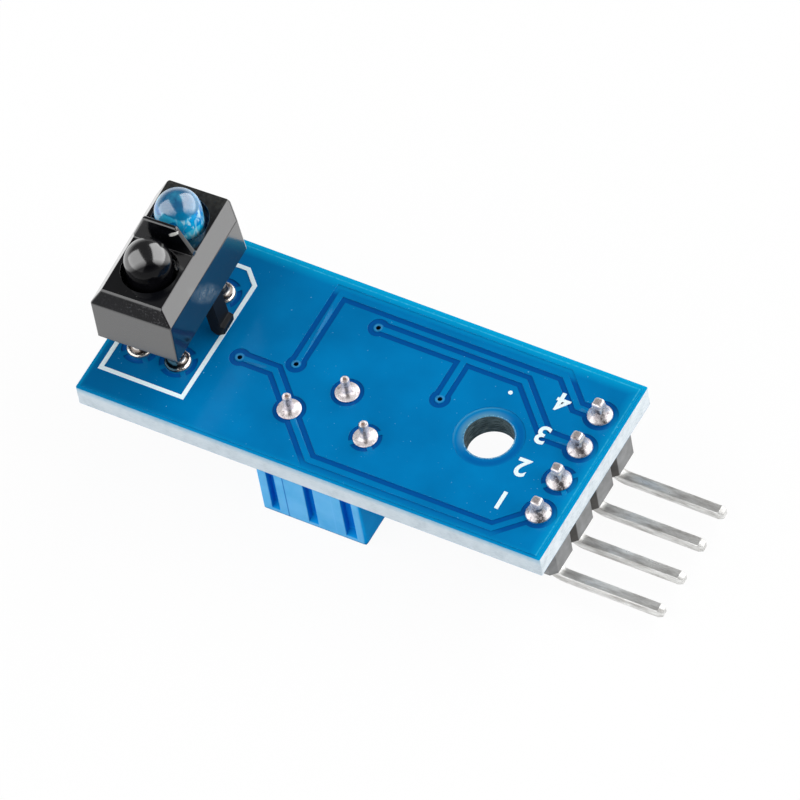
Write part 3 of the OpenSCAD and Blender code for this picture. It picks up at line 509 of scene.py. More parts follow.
def coreMaterial(b):
    made, shader, place = newMaterial("fibreCore", Specular_IOR_Level=0.12)
    x, y, z = inMillimetres(place)
    # faces are told from cut walls by their height
    face = most(between(z, -0.02, -0.01), below(z, b["core"] + 0.01, b["core"] + 0.02))
    # the bare strip beside a cut edge, the far one most of all, is as bright as the mask: painted light that
    # enters at the cut edge
    inside = least(*(insideOf(x, y, b, side) for side in ("free", "header", "near", "far")))
    bright = most(below(inside, 0.3, b["glow"]), below(insideOf(x, y, b, "far"), 1.1, 1.45))
    lacquered = holeTint(x, y, b, edgeLit(x, y, b, painted(b["moat"], b["mask"], bright)))
    threads = noise(place, 0.11, 4.0, (0.35, 0.35, 2.2))
    fibre = ramp(threads * 0.6 + noise(place, 0.9) * 0.4,
                 (0.25, b["fibreDark"]), (0.5, b["fibre"]), (0.78, (226, 231, 234)))
    # the near wall is a little darker, and stained blue along its top
    near = below(y, b["near"] + 0.05, b["near"] + 0.1)
    fibre = painted(fibre, (166, 182, 194), 0.4 * near)
    fibre = painted(fibre, (80, 158, 192), 0.6 * near * between(z, -0.5, -0.05))
    wall = ramp(noise(place, 0.14, 3.0, (0.35, 0.35, 4.5)),
                (0.34, (30, 44, 48)), (0.5, b["holeWall"]), (0.7, (112, 130, 134)))
    fibre = painted(fibre, wall, below(fromMiddle(x, y), b["hole"] + 0.1, b["hole"] + 0.2))
    bored = below(viaDistance(x, y, b), b["viaBore"] + 0.05, b["viaBore"] + 0.09)
    fibre = painted(fibre, (6, 34, 50), bored)
    feed(shader, Base_Color=painted(fibre, lacquered, face), Roughness=0.72 - face * 0.45)
    relief(shader, threads, 0.03, 0.5)
    return made


dress("circuit_board", coreMaterial(board))
lacquer = lacquerMaterial(board)
for side in ("sensor", "component"):
    skin = softenedCopy(side + "_side_copper", side + "SideLacquer", board["edge"], angle=40)
    finishPiece(skin, "module", lacquer, [side + "_side_copper"])
print("board finished")


# Hole lip: a low burr of torn lacquer and fibre round the drilled hole
holeLip = {"bore": 1.51, "outer": 1.575, "height": 0.03, "low": -0.02, "around": 160,
           "rough": 0.003, "waves": (7, 12, 19, 31)}


def ripple(a, t, seed, size, waves):
    # 1 plus a few sine waves round the axis, each with its own phase that drifts along the profile
    phase = np.random.default_rng(seed).uniform(0, 2 * math.pi, (len(waves), 2))
    total = np.zeros(np.broadcast(a, t).shape)
    for k, w in enumerate(waves):
        total = total + np.sin(w * a + phase[k, 0] + 4 * t * math.sin(phase[k, 1])) / (k + 1)
    return 1 + size * total


def burrMaterial():
    made, shader, place = newMaterial("tornFibre", Roughness=0.5)
    feed(shader, Base_Color=ramp(
        noise(place, 0.12), (0.35, (20, 112, 168)), (0.55, (84, 156, 190)), (0.8, (206, 222, 228))))
    return made


def addHoleLip(h):
    # a low ridge turned round the hole. Its last ring is its first, so the band needs no caps
    bore, outer, height, low = h["bore"], h["outer"], h["height"], h["low"]
    profile = [(bore, low), (bore, 0.012), (bore + 0.02, height), (outer - 0.02, height * 0.7),
               (outer, 0.004), (outer + 0.01, low)]
    rings = revolved(profile, (0, 0), h["around"], lambda a, t: ripple(a, t, 5, h["rough"], h["waves"]))
    rings = np.concatenate([rings, rings[:1]])
    piece = meshObject("holeLip", rings.reshape(-1, 3), tubeFaces(len(rings), h["around"])[:-2])
    finishPiece(piece, "module", burrMaterial())


addHoleLip(holeLip)
print("hole lip added")


# Printed ink, with plain numerals at the pins
ink = {"numerals": "1234", "besidePin": -2.45, "height": 1.775, "bold": 0.035, "thickness": 0.03,
       "level": 0.05}


def inkMaterial():
    made, shader, place = newMaterial("whiteInk", Roughness=0.5)
    grain = noise(place, 0.09)
    feed(shader, Base_Color=ramp(grain, (0.25, (204, 228, 238)), (0.45, (228, 245, 250))))
    relief(shader, grain, 0.01, 0.4)
    return made


def addNumerals(n, material):
    # each numeral is typed as a curve, made a mesh, turned half round and put beside its pin
    joined = bmesh.new()
    for (x, y), mark in zip(pinRow, n["numerals"]):
        text = bpy.data.curves.new("mark", "FONT")
        text.body = mark
        text.align_x = text.align_y = "CENTER"
        text.size = n["height"] * mm
        text.offset = n["bold"] * mm
        text.extrude = n["thickness"] / 2 * mm
        text.resolution_u = 6
        source = bpy.data.objects.new("mark", text)
        bpy.context.scene.collection.objects.link(source)
        bpy.context.view_layer.update()
        mesh = bpy.data.meshes.new_from_object(source.evaluated_get(bpy.context.evaluated_depsgraph_get()))
        bpy.data.objects.remove(source)
        place = Vector((x + n["besidePin"], y, n["level"] + n["thickness"] / 2)) * mm
        mesh.transform(Matrix.Translation(place) @ Matrix.Rotation(math.pi, 4, "Z"))
        joined.from_mesh(mesh)
    bmesh.ops.remove_doubles(joined, verts=joined.verts, dist=meshLimits["merge"])
    mesh = bpy.data.meshes.new("pinNumerals")
    joined.to_mesh(mesh)
    joined.free()
    piece = bpy.data.objects.new("pinNumerals", mesh)
    bpy.context.scene.collection.objects.link(piece)
    finishPiece(piece, "module", material)


whiteInk = inkMaterial()
dress("sensor_side_print", whiteInk)
dress("component_side_print", whiteInk)
addNumerals(ink, whiteInk)
print("print finished")


# Sensor housing: glossy black moulding with lightly worn, rounded edges
housing = {
    "middle": (-20.7, 0.15), "twist": 2.0, "roof": 7.53, "base": 3.23, "edge": 0.4,
    "length": 9.5, "bevelHeight": 1.1, "endBevel": 0.42, "opening": 1.72, "lensAt": 1.95,
    # marks: middle in the plane of the face, direction, half length and half width
    "rubbed": ((-0.45, 4.9), -51, 2.5, 0.72), "paintedGlint": ((-19.8, 9.12), 43, 0.52, 0.13),
}


def ownAxes(p, h):
    # from the board's axes to the housing's own, which are turned about its middle by its twist
    a = math.radians(h["twist"])
    x, y = p[0] - h["middle"][0], p[1] - h["middle"][1]
    return x * math.cos(a) + y * math.sin(a), y * math.cos(a) - x * math.sin(a), p[2]


def placed(p, h):
    # and back
    a = math.radians(h["twist"])
    return np.stack([p[..., 0] * math.cos(a) - p[..., 1] * math.sin(a) + h["middle"][0],
                     p[..., 0] * math.sin(a) + p[..., 1] * math.cos(a) + h["middle"][1], p[..., 2]], -1)


def housingEdge(middle, length):
    # how much of the rounding an edge gets, by the place of its middle
    x, y, z = ownAxes(middle, housing)
    underRoof = z < housing["roof"] - 0.02
    if z < housing["base"] + 0.02:
        return 0.12  # legs and lower rim
    if abs(math.hypot(x, abs(y) - housing["lensAt"]) - housing["opening"]) < 0.06 and length < 0.6:
        return 0.1  # rims of the two openings
    if abs(x) > 1.9 and y > 4.2 and underRoof and z > housing["roof"] - housing["bevelHeight"]:
        return 0.45  # two roof corners of the emitter's end
    if y < -4.2 and abs(x) < 1.0 and not underRoof:
        return 0.45  # top of the bevel at the detector's end
    if abs(x) < 2.1 and abs(y) < 4.2 and underRoof:
        return 0.0  # inside the chambers
    if abs(x) > 1.9 and abs(y) < 4.0:
        return 0.14  # long edges
    return 0.3


def markDistance(x, y, mark):
    # 0 in the middle of a long oval mark and 1 on its outline
    (mx, my), turn, length, width = mark
    return fromMiddle(along(x - mx, y - my, turn) / length, along(x - mx, y - my, turn + 90) / width)


def housingMaterial(h):
    # glossy all over, except for the two end bevels, which keep the grain of the mould, and the legs
    made, shader, place = newMaterial("blackMoulding", Specular_IOR_Level=0.2, Coat_Roughness=0.1,
                                      Coat_IOR=1.77)
    x, y, z = inMillimetres(place)
    mx, my = h["middle"]
    reach = ownAxes((x, y, z), h)[1]
    foot = h["roof"] - h["bevelHeight"]
    # height of the bevel's plane at this distance from the middle, less the point's own height
    under = (h["length"] / 2 - abs(reach)) * (h["bevelHeight"] / h["endBevel"]) - (z - foot)
    bevel = below(under, 0.03, 0.12) * between(z, foot - 0.02, foot + 0.03)
    bevel = bevel * below(z, h["roof"] - 0.12, h["roof"] - 0.07)
    legs = below(z, h["base"] - 0.2, h["base"])
    scuff = noise(place, 0.22, 4.0, roughness=0.6)
    patch = noise(place, 1.4)
    grain = noise(place, 0.1)
    tint = ramp(patch, (0.3, (6, 7, 10)), (0.7, (13, 14, 18)))
    # dust: fine specks on the end bevels and the roof, and a grey film on the roof beyond the emitter
    speck = between(noise(place, 0.13), 0.54, 0.72) * (0.2 + between(x, mx - 1.8, mx + 2.2))
    tint = painted(tint, (84, 84, 86), 0.5 * bevel * speck)
    roof = between(z, h["roof"] - 0.1, h["roof"] - 0.05)
    film = roof * between(y, my + 2.2, my + 4.2)
    film = film * between(noise(place, 0.3, 5.0, roughness=0.7), 0.3, 0.75)
    tint = painted(tint, (74, 74, 70), 0.75 * film)
    tint = painted(tint, (128, 128, 124), 0.7 * roof * between(noise(place, 0.17, 1.0), 0.76, 0.8))
    # a rubbed place on the side over the board
    rubbed = below(markDistance(y, z, h["rubbed"]), 0.3, 1.0) * between(x, mx + 2.3, mx + 2.5)
    rubbed = rubbed * (0.2 + between(noise(place, 0.3, 5.0, (1, 0.6, 0.6), 0.7), 0.38, 0.62))
    tint = painted(tint, (134, 142, 142), 0.55 * rubbed)
    # and a painted glint, a pale highlight, on the divider's face beside the detector
    paintedGlint = below(markDistance(x, z, h["paintedGlint"]) + (grain - 0.5) * 1.2, 0.75, 1.0)
    paintedGlint = paintedGlint * below(reach, -0.1, 0.0)
    tint = painted(tint, (232, 232, 228), 0.95 * paintedGlint)
    worn = between(scuff * 0.5 + patch * 0.35, 0.0, 2.4)
    feed(shader, Base_Color=tint, Roughness=most(worn, legs * 0.5), Coat_Weight=1 - most(bevel, legs))
    relief(shader, grain, 0.01, 0.3)
    return made


shell = softenedCopy("sensor_housing", "sensorHousing", housing["edge"], 3, 12, housingEdge)
finishPiece(shell, "module", housingMaterial(housing), ["sensor_housing"])
print("sensor housing finished")


# Emitter and detector: a block in its chamber that runs up into a domed lens
lens = {
    "radius": 1.42, "height": 2.2, "spacing": 3.9, "roof": 7.53, "base": 3.43, "blockTop": 6.08,
    "block": (3.95, 3.55), "blockShift": 2.275, "blockPower": 9, "around": 96, "sharpFrom": 50,
    "glossTurn": 37.6, "facet": 0.85,
}


def boxRing(width, depth, power, around):
    # a rounded rectangle by angle: the point where a ray at that angle meets the superellipse
    a = fullTurn(around)
    r = (np.abs(np.cos(a) * 2 / width) ** power + np.abs(np.sin(a) * 2 / depth) ** power) ** (-1 / power)
    return np.stack([r * np.cos(a), r * np.sin(a)], -1)


def addLens(name, side, node, material, l):
    # rings of the block, then of the cylinder, then of the dome: radius r cos t at height r sin t
    ring = boxRing(*l["block"], l["blockPower"], l["around"])
    a = fullTurn(l["around"])
    circle = np.stack([np.cos(a), np.sin(a)], -1)
    base, middle, r, top = l["base"], l["blockTop"], l["radius"], l["roof"] + l["height"]
    rows = [(ring, size, l["blockShift"], z) for z, size in (
        (base, 0.97), (base + 0.06, 1.0), (middle - 0.06, 1.0), (middle, 0.97))]
    stem = [(r * 1.06, middle + 0.002), (r * 1.015, middle + 0.12), (r, middle + 0.35), (r, l["roof"] - 0.3),
            (r, top - r - 0.02)]
    dome = [(r * math.cos(t), top - r + r * math.sin(t)) for t in np.linspace(0, math.pi / 2, 25)[:-1]]
    rows += [(circle, size, l["spacing"] / 2, z) for size, z in stem + dome + [(0.004, top)]]
    rings = np.array([np.column_stack([outline * size + [0, side * shift], np.full(l["around"], z)])
                      for outline, size, shift, z in rows])
    piece = tubes(name, [placed(rings, housing)])
    bpy.context.view_layer.objects.active = piece
    piece.data.set_sharp_from_angle(angle=math.radians(l["sharpFrom"]))
    finishPiece(piece, "module", material, [node])


def glossAbove(place, side, low, high, l):
    # 0 to 1 by the height over the roof, and 1 lower down at the dome's left and right than in front
    x, y, z = inMillimetres(place)
    mx, my, _ = placed(np.array([0, side * l["spacing"] / 2, 0]), housing).tolist()
    aside = along(x - mx, y - my, l["glossTurn"])
    return between(z + aside * aside * 0.5, l["roof"] + low, l["roof"] + high)


def emitterMaterial(l):
    # clear resin that scatters a little, deep blue in the dome. Painted light: a bright spot at the dome's
    # top and, below the dome, bright angular patches for the light refracted into the resin, with pale
    # streaks of painted highlight on the side that faces the header
    made, shader, place = newMaterial("clearBlueResin", Roughness=0.12, IOR=1.5, Specular_IOR_Level=0.12,
                                      Coat_Roughness=0.16, Coat_IOR=2.15)
    x, _, z = inMillimetres(place)
    bend = noise(place, 0.7, 2.0)
    bent = z + (bend - 0.5) * 0.5
    # painted light: bright angular facets for the light refracted into the resin
    facets = outputOf(place.tree, "ShaderNodeTexVoronoi", "Color", {
        "Vector": stretched(place, (1, 1, 1.5)), "Scale": 1 / (l["facet"] * mm)})
    bright = ramp(axes(facets)[0], (0.1, (0, 126, 200)), (0.4, (0, 150, 218)), (0.7, (10, 174, 228)),
                  (0.95, (70, 198, 236)))
    # pale streaks of painted highlight, most on the side towards the header
    streak = between(noise(place, 0.5, 2.0, (1.6, 1.6, 0.6), 0.5, 0.8), 0.49, 0.6)
    towards = between(x, housing["middle"][0] + 0.3, housing["middle"][0] + 1.1)
    bright = painted(bright, (196, 240, 250), streak * (0.05 + towards * 0.75))
    foot = below(bent + towards * 0.3, l["roof"] + 1.62, l["roof"] + 1.74)
    deep = between(bent, l["blockTop"] - 0.2, l["roof"] + 0.2)
    top = l["roof"] + l["height"]
    # painted light: a bright spot at the dome's top
    spot = between(z, top - 0.13, top - 0.03) * between(bend, 0.3, 0.6)
    dome = painted((0, 136, 188), (0, 98, 150), between(z, top - 0.6, top - 0.05))
    dome = painted(dome, (50, 176, 218), 0.8 * spot)
    tint = painted(dome, painted((0, 88, 150), bright, deep), foot)
    feed(shader, Base_Color=tint, Transmission_Weight=0.35 - foot * 0.2,
         Coat_Weight=glossAbove(place, 1, 1.78, 2.04, l))
    return made


def detectorMaterial(l):
    # dark resin, glossy on the dome and duller towards the foot
    made, shader, place = newMaterial("darkResin", Roughness=0.15, IOR=1.5, Specular_IOR_Level=0.12,
                                      Coat_Roughness=0.16, Coat_IOR=2.2)
    feed(shader, Base_Color=ramp(noise(place, 0.8, 2.0), (0.3, (4, 4, 6)), (0.7, (10, 10, 13))),
         Coat_Weight=glossAbove(place, -1, 1.7, 1.98, l))
    relief(shader, noise(place, 1.2, 1.0), 0.01, 0.1)
    return made


addLens("emitterResin", 1, "emitter", emitterMaterial(lens), lens)
addLens("detectorResin", -1, "detector", detectorMaterial(lens), lens)
print("lenses finished")


# Inside the emitter: a bright stepped cup on its frame, seen through the resin
cup = {"radius": 0.7, "level": 5.5, "rim": 6.0, "facets": 9}


def frameMaterial():
    made, shader, place = newMaterial("silveredFrame", Metallic=0.35, Roughness=0.35)
    feed(shader, Base_Color=ramp(noise(place, 0.4, 2.0), (0.35, (150, 200, 226)), (0.65, (236, 246, 250))))
    return made


def addCup(c, l):
    # the outside up to the rim, the bowl and the chip on its floor, turned with flat sides
    radius, level, rim = c["radius"], c["level"], c["rim"]
    profile = [(0.3, level - 0.4), (radius, level - 0.4), (radius + 0.08, rim - 0.3), (radius, rim),
               (radius - 0.12, rim - 0.02), (0.55, level), (0.28, level), (0.27, level + 0.14),
               (0.02, level + 0.14)]
    rings = revolved(profile, (0, l["spacing"] / 2), c["facets"],
                     lambda a, t: ripple(a, t, 21, 0.04, (1, 2, 3)))
    piece = tubes("emitterCup", [placed(rings, housing)], smooth=False)
    finishPiece(piece, "module", frameMaterial())


addCup(cup, lens)
print("emitter cup added")


# Metals
def tinMaterial(name, dark, light, size, stretch=(1, 1, 1), rough=(0.2, 0.45), metal=1.0):
    made, shader, place = newMaterial(name, Metallic=metal)
    grain = noise(place, size, 4.0, stretch, 0.6)
    feed(shader, Base_Color=ramp(grain, (0.3, dark), (0.62, light)),
         Roughness=between(grain, 0.3, 0.7, rough[1], rough[0]))
    relief(shader, grain, 0.012, 0.4)
    return made


def solderMaterial(name, metal, rough, tones, marks):
    # tones: dark flux, grey and bright metal. marks(place, flux, x, y, z, tint) paints what each joint has,
    # with x, y and z from the middle of the joint
    made, shader, place = newMaterial(name, Metallic=metal)
    flux = noise(place, 0.32, 5.0, (1, 1, 1), 0.65, 0.4)
    tint = ramp(flux, *zip((0.3, 0.38, 0.47), tones))
    local = outputOf(place.tree, "ShaderNodeAttribute", "Vector", attribute_name="local")
    feed(shader, Base_Color=marks(place, flux, *axes(local), tint),
         Roughness=between(flux, 0.25, 0.6, rough[1], rough[0]))
    relief(shader, noise(place, 0.3, 3.0, (1, 1, 1), 0.55, 0.6), 0.1, 0.3)
    return made


def headerMarks(place, flux, x, y, z, tint):
    # dark flux down the near side, kept to that side as a painted dark reflection, and a darker cut end on
    # the pin
    fluxAndReflection = between(along(x, y, -52), -0.1, 0.2) * below(abs(along(x, y, 38)), 0.15, 0.6)
    fluxAndReflection = fluxAndReflection * between(flux, 0.4, 0.5) * below(z, 0.9, 1.3)
    tint = painted(tint, (58, 52, 56), 0.9 * fluxAndReflection)
    cut = between(z, 1.37, 1.4) * below(fromMiddle(x, y), 0.16, 0.27)
    return painted(tint, (150, 138, 138), 0.6 * cut)


def trimmerMarks(place, flux, x, y, z, tint):
    # the bare wire is brown in its middle, and a painted dark reflection of the wire runs out from it,
    # broken by the flux
    bare = below(fromMiddle(x, y), 0.09, 0.16) * between(z, 1.2, 1.3)
    tint = painted(tint, (158, 134, 124), bare)
    out = along(x, y, -55)
    wireReflection = between(out, 0.1, 0.2) * below(out, 0.5, 0.64)
    wireReflection = wireReflection * below(abs(along(x, y, 35)), 0.06, 0.16) * between(flux, 0.35, 0.5)
    return painted(tint, (66, 60, 60), 0.75 * wireReflection)


def sensorMarks(place, flux, x, y, z, tint):
    # pale rim and a brown ring of flux inside it. The lead in the middle is painted dark, a painted
    # reflection of the housing, and the joint at the detector's corner is painted dark teal on the side
    # under the housing, a painted reflection of housing and board
    away = fromMiddle(x, y)
    tint = painted(tint, (70, 54, 40), 0.85 * between(away, 0.42, 0.5) * below(away, 0.6, 0.7))
    # painted reflection: the lead and the top of the joint dark
    tint = painted(tint, (34, 36, 38), 0.9 * most(between(z, 0.42, 0.55), below(away, 0.3, 0.4)))
    tint = painted(tint, (206, 200, 188), between(away, 0.72, 0.78))
    # painted reflection of the housing and the board, dark teal, at the detector's corner
    u, v, _ = inMillimetres(place)
    mx, my = housing["middle"]
    corner = between(u, mx - 0.1, mx) * below(v, my - 0.15, my - 0.05)
    return painted(tint, (24, 58, 74), 0.97 * corner * below(along(x, y, 15), 0.1, 0.3))


pinMetal = tinMaterial("tinnedPin", (166, 164, 161), (229, 229, 227), 0.32, (0.25, 1, 1), (0.26, 0.4), 0.62)
leadMetal = tinMaterial("tinnedLead", (186, 184, 182), (236, 234, 232), 0.35)
headerSolder = solderMaterial("frostedSolder", 0.55, (0.22, 0.4), (
    (104, 96, 98), (176, 168, 170), (236, 230, 230)), headerMarks)
sensorSolder = solderMaterial("wetSolder", 0.95, (0.12, 0.3), (
    (120, 112, 104), (190, 186, 182), (226, 224, 222)), sensorMarks)
trimmerSolder = solderMaterial("brightSolder", 0.35, (0.2, 0.45), (
    (130, 120, 122), (196, 186, 188), (234, 226, 226)), trimmerMarks)


# Header pins: a square profile with rounded edges, carried down, round the bend and out to a tapered end
pins = {"half": 0.32, "top": 1.36, "level": -5.54, "bend": 1.25, "reach": 7.6, "edge": 0.07, "taper": 0.3,
        "tipHalf": 0.225, "sharpFrom": 16}


def squareRing(half, edge, steps=3):
    # quarter arcs at the four corners, joined by straight sides
    q = np.linspace(0, math.pi / 2, steps + 1)
    flat = half - edge
    parts = []
    for k, (sx, sy) in enumerate(((1, 1), (-1, 1), (-1, -1), (1, -1))):
        a = q + k * math.pi / 2
        parts.append(np.stack([sx * flat + edge * np.cos(a), sy * flat + edge * np.sin(a)], -1))
    return np.concatenate(parts)


def addPins(p, material):
    # path: down from the top, a quarter circle of the bend's radius, then straight out along +X
    low = p["level"] + p["bend"]
    down = np.array([(0, z) for z in (p["top"], p["top"] - p["taper"], 0.6, -1.5, -3.5, low)])
    a = np.linspace(math.pi, 1.5 * math.pi, 15)[1:]
    bend = np.stack([p["bend"] * (1 + np.cos(a)), low + p["bend"] * np.sin(a)], -1)
    reach = p["reach"]
    out = [*np.linspace(p["bend"], reach - p["taper"], 8)[1:], reach - 0.05, reach]
    path = np.concatenate([down, bend, np.array([(x, p["level"]) for x in out])])
    step = np.gradient(path, axis=0)
    step /= np.linalg.norm(step, axis=1)[:, None]
    step[:len(down)] = (0, -1)
    step[-len(out) - 1:] = (1, 0)
    side = np.stack([-step[:, 1], step[:, 0]], -1)  # the profile's first axis, in the plane of the bend
    size = np.ones(len(path))
    size[[0, -1]] = p["tipHalf"] / p["half"]
    size[-2] = size[0] + 0.06
    ring = squareRing(p["half"], p["edge"])
    u, v = size[:, None] * ring[None, :, 0], size[:, None] * ring[None, :, 1]
    x = path[:, :1] + side[:, :1] * u
    z = path[:, 1:] + side[:, 1:] * u
    for k, (px, py) in enumerate(pinRow):
        piece = tubes("headerPin%d" % (k + 1), [np.stack([x + px, v + py, z], -1)])
        piece.data.set_sharp_from_angle(angle=math.radians(p["sharpFrom"]))
        finishPiece(piece, "module", material, ["header_pin_%d" % (k + 1)])


addPins(pins, pinMetal)
print("header pins finished")


# Solder: turned profiles with a rippled skin. Each joint has its own seed, so that no two are alike
joints = {
    # outer radius and height pairs, upwards from the pad
    "header": [(0.71, 0.05), (0.76, 0.08), (0.775, 0.12), (0.755, 0.18), (0.69, 0.26), (0.6, 0.35),
               (0.52, 0.45), (0.455, 0.57), (0.405, 0.7), (0.365, 0.85), (0.335, 1.0), (0.32, 1.15),
               (0.31, 1.29), (0.27, 1.37), (0.18, 1.4), (0.01, 1.405)],
    "sensor": [(0.76, 0.05), (0.81, 0.11), (0.8, 0.21), (0.72, 0.3), (0.58, 0.34), (0.47, 0.42),
               (0.39, 0.58), (0.34, 0.8), (0.29, 0.94), (0.12, 0.98), (0.01, 0.98)],
    "trimmer": [(0.72, 0.05), (0.742, 0.08), (0.725, 0.115), (0.6, 0.155), (0.45, 0.2), (0.34, 0.28),
                (0.29, 0.42), (0.27, 0.62), (0.265, 1.25), (0.26, 1.36), (0.225, 1.4), (0.17, 1.385),
                (0.12, 1.36), (0.01, 1.356)],
    "under": [(0.46, -1.5), (0.46, -1.55), (0.78, -1.555), (0.79, -1.6), (0.7, -1.68), (0.55, -1.8),
              (0.42, -1.98), (0.34, -2.12), (0.2, -2.15), (0.01, -2.15)],
    "stem": (-1.49, 0.045), "around": 40,
    # middles of the joints
    "sensorAt": [(-20.7 + x, 0.15 + y) for y in (-2.7, 2.7) for x in (-1.27, 1.27)],
    "trimmerAt": [(-9.18 + x, -2.75 + y) for x, y in ((-2.54, -0.21), (0, 2.24), (2.54, -0.21))],
}


def jointTube(profile, middle, seed, amount, squareFrom=None):
    # the profile as a smooth line, turned about the pin, with ripples that grow from the pad upwards. Above
    # squareFrom the round section turns into the pin's square one, |cos|^5 + |sin|^5 = 1
    def section(a, t):
        rippled = 1 + (ripple(a, t * 2, seed, amount, (1, 2, 3, 5, 7)) - 1) * np.clip(t * 3 - 0.15, 0, 1)
        if squareFrom is None:
            return rippled
        square = (np.abs(np.cos(a)) ** 5 + np.abs(np.sin(a)) ** 5) ** -0.2
        return rippled * (1 + (square - 1) * np.clip((profile[:, 1:] - squareFrom) / 0.3, 0, 1))
    lean = np.random.default_rng(seed + 100).uniform(-0.03, 0.03, 2)
    rings = revolved(profile, middle, joints["around"], section)
    rings[..., :2] += lean * np.clip(rings[..., 2:], 0, 2)
    return rings


def storeLocal(piece, middle):
    # each vertex's place from the middle of its joint, for the material to read
    places = np.empty(len(piece.data.vertices) * 3)
    piece.data.vertices.foreach_get("co", places)
    places = places.reshape(-1, 3) / mm - (*middle, 0)
    piece.data.attributes.new("local", "FLOAT_VECTOR", "POINT").data.foreach_set("vector", places.ravel())


def addSolder(j):
    # a stem in the drilled hole, then the profile over the pad. A sensor joint also has one under the board.
    # A row has places, bore, size of the ripples, material, and the height from which a joint turns square
    rows = (("header", pinRow, 0.46, 0.035, headerSolder, 0.75),
            ("sensor", j["sensorAt"], 0.46, 0.03, sensorSolder, None),
            ("trimmer", j["trimmerAt"], 0.36, 0.022, trimmerSolder, None))
    low, high = j["stem"]
    for kind, places, bore, amount, material, squareFrom in rows:
        for k, place in enumerate(places):
            seed = 11 * len(kind) + k
            profile = np.concatenate([[(0.02, low), (bore, low), (bore, high)], smoothLine(j[kind], 4)])
            made = [jointTube(profile, place, seed, amount, squareFrom)]
            if kind == "sensor":
                made.append(jointTube(smoothLine(j["under"], 4), place, seed + 40, 0.03))
            piece = tubes(kind + "Solder%d" % (k + 1), made)
            storeLocal(piece, place)
            finishPiece(piece, "module", material, ["%s_solder_%d" % (kind, k + 1)])


addSolder(joints)
dressRow("sensor_lead", 4, leadMetal)
dressRow("trimmer_pin", 3, leadMetal)
dressRow("comparator_lead", 8, leadMetal)
print("solder joints finished")


# Header block: black moulding, a little grey and dusty, with notches between the pins
block = {"notches": (-2.39, 0.15, 2.69), "half": 0.38, "edge": 0.05}


def mouldedMaterial(name, low, high, size, rough, depth=0.012):
    made, shader, place = newMaterial(name, Roughness=rough)
    feed(shader, Base_Color=ramp(noise(place, size, 4.0), (0.3, low), (0.7, high)))
    relief(shader, noise(place, 0.1), depth, 0.4)
    return made


def headerMaterial(b):
    # grey and dusty on its outer faces, dark and brownish in the notches
    made, shader, place = newMaterial("headerMoulding", Roughness=0.42)
    y = inMillimetres(place)[1]
    grain = noise(place, 0.8, 4.0)
    dusty = ramp(grain, (0.3, (98, 99, 100)), (0.7, (128, 129, 130)))
    dark = ramp(grain, (0.35, (44, 42, 40)), (0.7, (64, 61, 58)))
    inner = most(*(below(abs(y - at), b["half"] - 0.03, b["half"] + 0.02) for at in b["notches"]))
    feed(shader, Base_Color=painted(dusty, dark, inner))
    relief(shader, noise(place, 0.1), 0.015, 0.4)
    return made


finishPiece(softenedCopy("header_block", "headerBlock", block["edge"]), "module",
            headerMaterial(block), ["header_block"])
print("header block finished")


# Trimmer: blue moulding with mould lines down its grooved face
trimmer = {
    "middle": -9.18, "low": -6.3, "face": -6.1, "edge": 0.06,
    # place along the face, share and colour of each mould line
    "lines": ((-1.68, 0.8, (12, 96, 178)), (1.54, 0.3, (110, 180, 232))),
}


def trimmerMaterial(t):
    made, shader, place = newMaterial(
        "blueMoulding", Roughness=0.5, Specular_IOR_Level=0.02, Subsurface_Weight=0.12,
        Subsurface_Radius=(0.2, 0.5, 1.0), Subsurface_Scale=0.4 * mm)
    x, y, z = inMillimetres(place)
    x = x - t["middle"]
    cloud = noise(place, 1.6)
    # painted sheen: the grooved face is paler, as the light it reflects makes it
    front = below(y, t["face"] + 0.01, t["face"] + 0.05)
    tint = painted(ramp(cloud, (0.3, (0, 144, 214)), (0.7, (12, 154, 224))),
                   ramp(cloud, (0.3, (80, 162, 214)), (0.7, (102, 176, 224))), front)
    for at, share, line in t["lines"]:
        tint = painted(tint, line, share * front * below(abs(x - at), 0.015, 0.06))
    # painted shade: deep in the grooves the blue is darker
    deep = between(y, t["face"] + 0.06, t["face"] + 0.3) * below(abs(x), 3.2, 3.3)
    tint = painted(tint, (0, 110, 206), 0.85 * deep * between(z, t["low"] + 0.4, t["low"] + 0.9))
    # painted shade: a dark line along the foot of the side faces
    foot = below(z, t["low"] + 0.12, t["low"] + 0.2) * between(z, t["low"] + 0.02, t["low"] + 0.05)
    feed(shader, Base_Color=painted(tint, (0, 74, 130), 0.8 * foot))
    relief(shader, noise(place, 0.15), 0.012, 0.3)
    return made


finishPiece(softenedCopy("trimmer_housing", "trimmerCase", trimmer["edge"], 3, 30), "module",
            trimmerMaterial(trimmer), ["trimmer_housing"])
for part, finish in (
    ("base", mouldedMaterial("baseMoulding", (30, 66, 110), (44, 86, 138), 1.2, 0.5)),
    ("ceramic", mouldedMaterial("paleCeramic", (222, 218, 206), (240, 237, 228), 0.6, 0.6)),
    ("adjuster", mouldedMaterial("whiteAdjuster", (226, 222, 210), (242, 239, 230), 0.9, 0.4)),
    ("wiper", tinMaterial("springMetal", (178, 140, 74), (226, 190, 120), 0.3)),
    ("seal", mouldedMaterial("sealRubber", (34, 34, 34), (50, 50, 50), 0.3, 0.7)),
):
    dress("trimmer_" + part, finish)
print("trimmer finished")


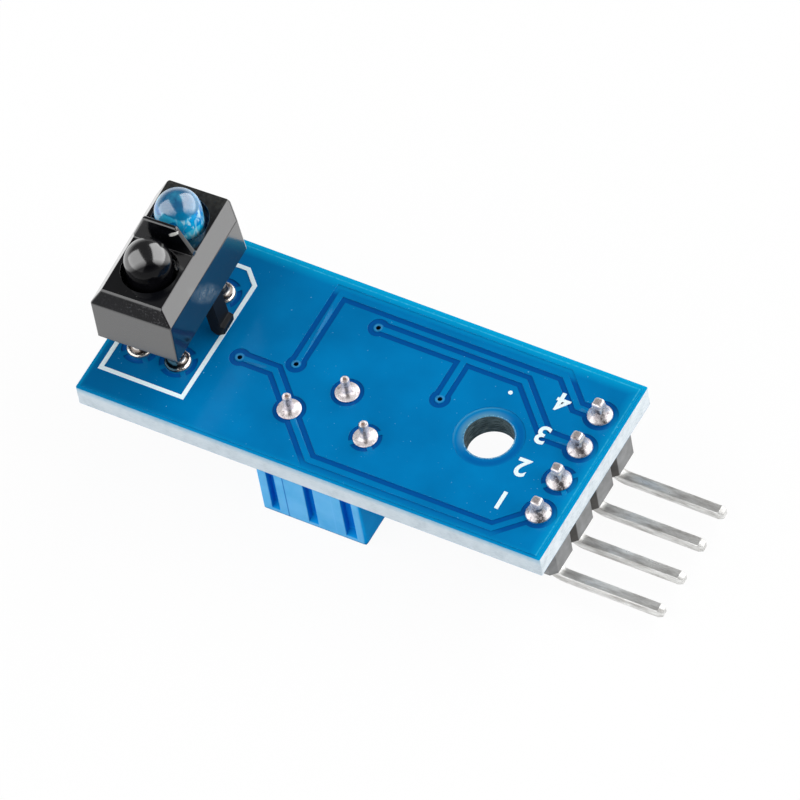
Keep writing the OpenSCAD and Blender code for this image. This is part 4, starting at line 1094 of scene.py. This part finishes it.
# Chips and lamps on the component side. Each resistor and capacitor has its middle, and 1 if it lies along Y
chips = {
    "resistors": (((-1.95, -4.7), 0), ((-1.95, 5.0), 0), ((-3.95, -1.7), 1), ((-16.55, -4.3), 0),
                  ((-16.55, -2.4), 0)),
    "capacitors": (((-7.55, 3.8), 1), ((-5.15, 3.8), 1)),
    "metalFrom": 0.48, "halfLength": 0.9, "halfWidth": 0.6, "comparatorEdge": 0.05,
}


def chipMaterial(name, low, high, parts, c):
    # the two metal ends of each part are told by their distance along it
    made, shader, place = newMaterial(name, Roughness=0.4)
    x, y, _ = inMillimetres(place)
    ends = []
    for (px, py), turned in parts:
        away, beside = (abs(y - py), abs(x - px)) if turned else (abs(x - px), abs(y - py))
        near = calc("LESS_THAN", away, c["halfLength"]) * calc("LESS_THAN", beside, c["halfWidth"])
        ends.append(near * calc("GREATER_THAN", away, c["metalFrom"]))
    metal = most(*ends)
    grain = noise(place, 0.2, 4.0)
    body = ramp(grain, (0.3, low), (0.7, high))
    tin = ramp(grain, (0.3, (190, 188, 186)), (0.7, (234, 232, 230)))
    feed(shader, Base_Color=painted(body, tin, metal), Metallic=metal)
    relief(shader, grain, 0.015, 0.4)
    return made


def lampMaterial(name, low, high):
    made, shader, place = newMaterial(name, Roughness=0.12, IOR=1.5, Transmission_Weight=0.7)
    feed(shader, Base_Color=ramp(noise(place, 0.5, 2.0), (0.3, low), (0.7, high)))
    return made


resistorFinish = chipMaterial("resistorFilm", (24, 24, 26), (38, 38, 41), chips["resistors"], chips)
capacitorFinish = chipMaterial("brownCeramic", (150, 116, 82), (182, 146, 106), chips["capacitors"], chips)
dressRow("resistor", 5, resistorFinish)
dressRow("capacitor", 2, capacitorFinish)
finishPiece(softenedCopy("comparator", "comparatorBody", chips["comparatorEdge"]), "module",
            mouldedMaterial("blackEpoxy", (32, 32, 34), (47, 47, 50), 0.25, 0.55, 0.02), ["comparator"])
lampWhite = mouldedMaterial("lampLaminate", (226, 222, 210), (242, 240, 232), 0.3, 0.5)
for name, low, high in (("power", (214, 62, 48), (238, 96, 78)), ("output", (74, 178, 92), (124, 214, 132))):
    dress(name + "_lamp_base", lampWhite)
    dress(name + "_lamp_lens", lampMaterial(name + "LampResin", low, high))
print("component side finished")


bpy.context.view_layer.update()
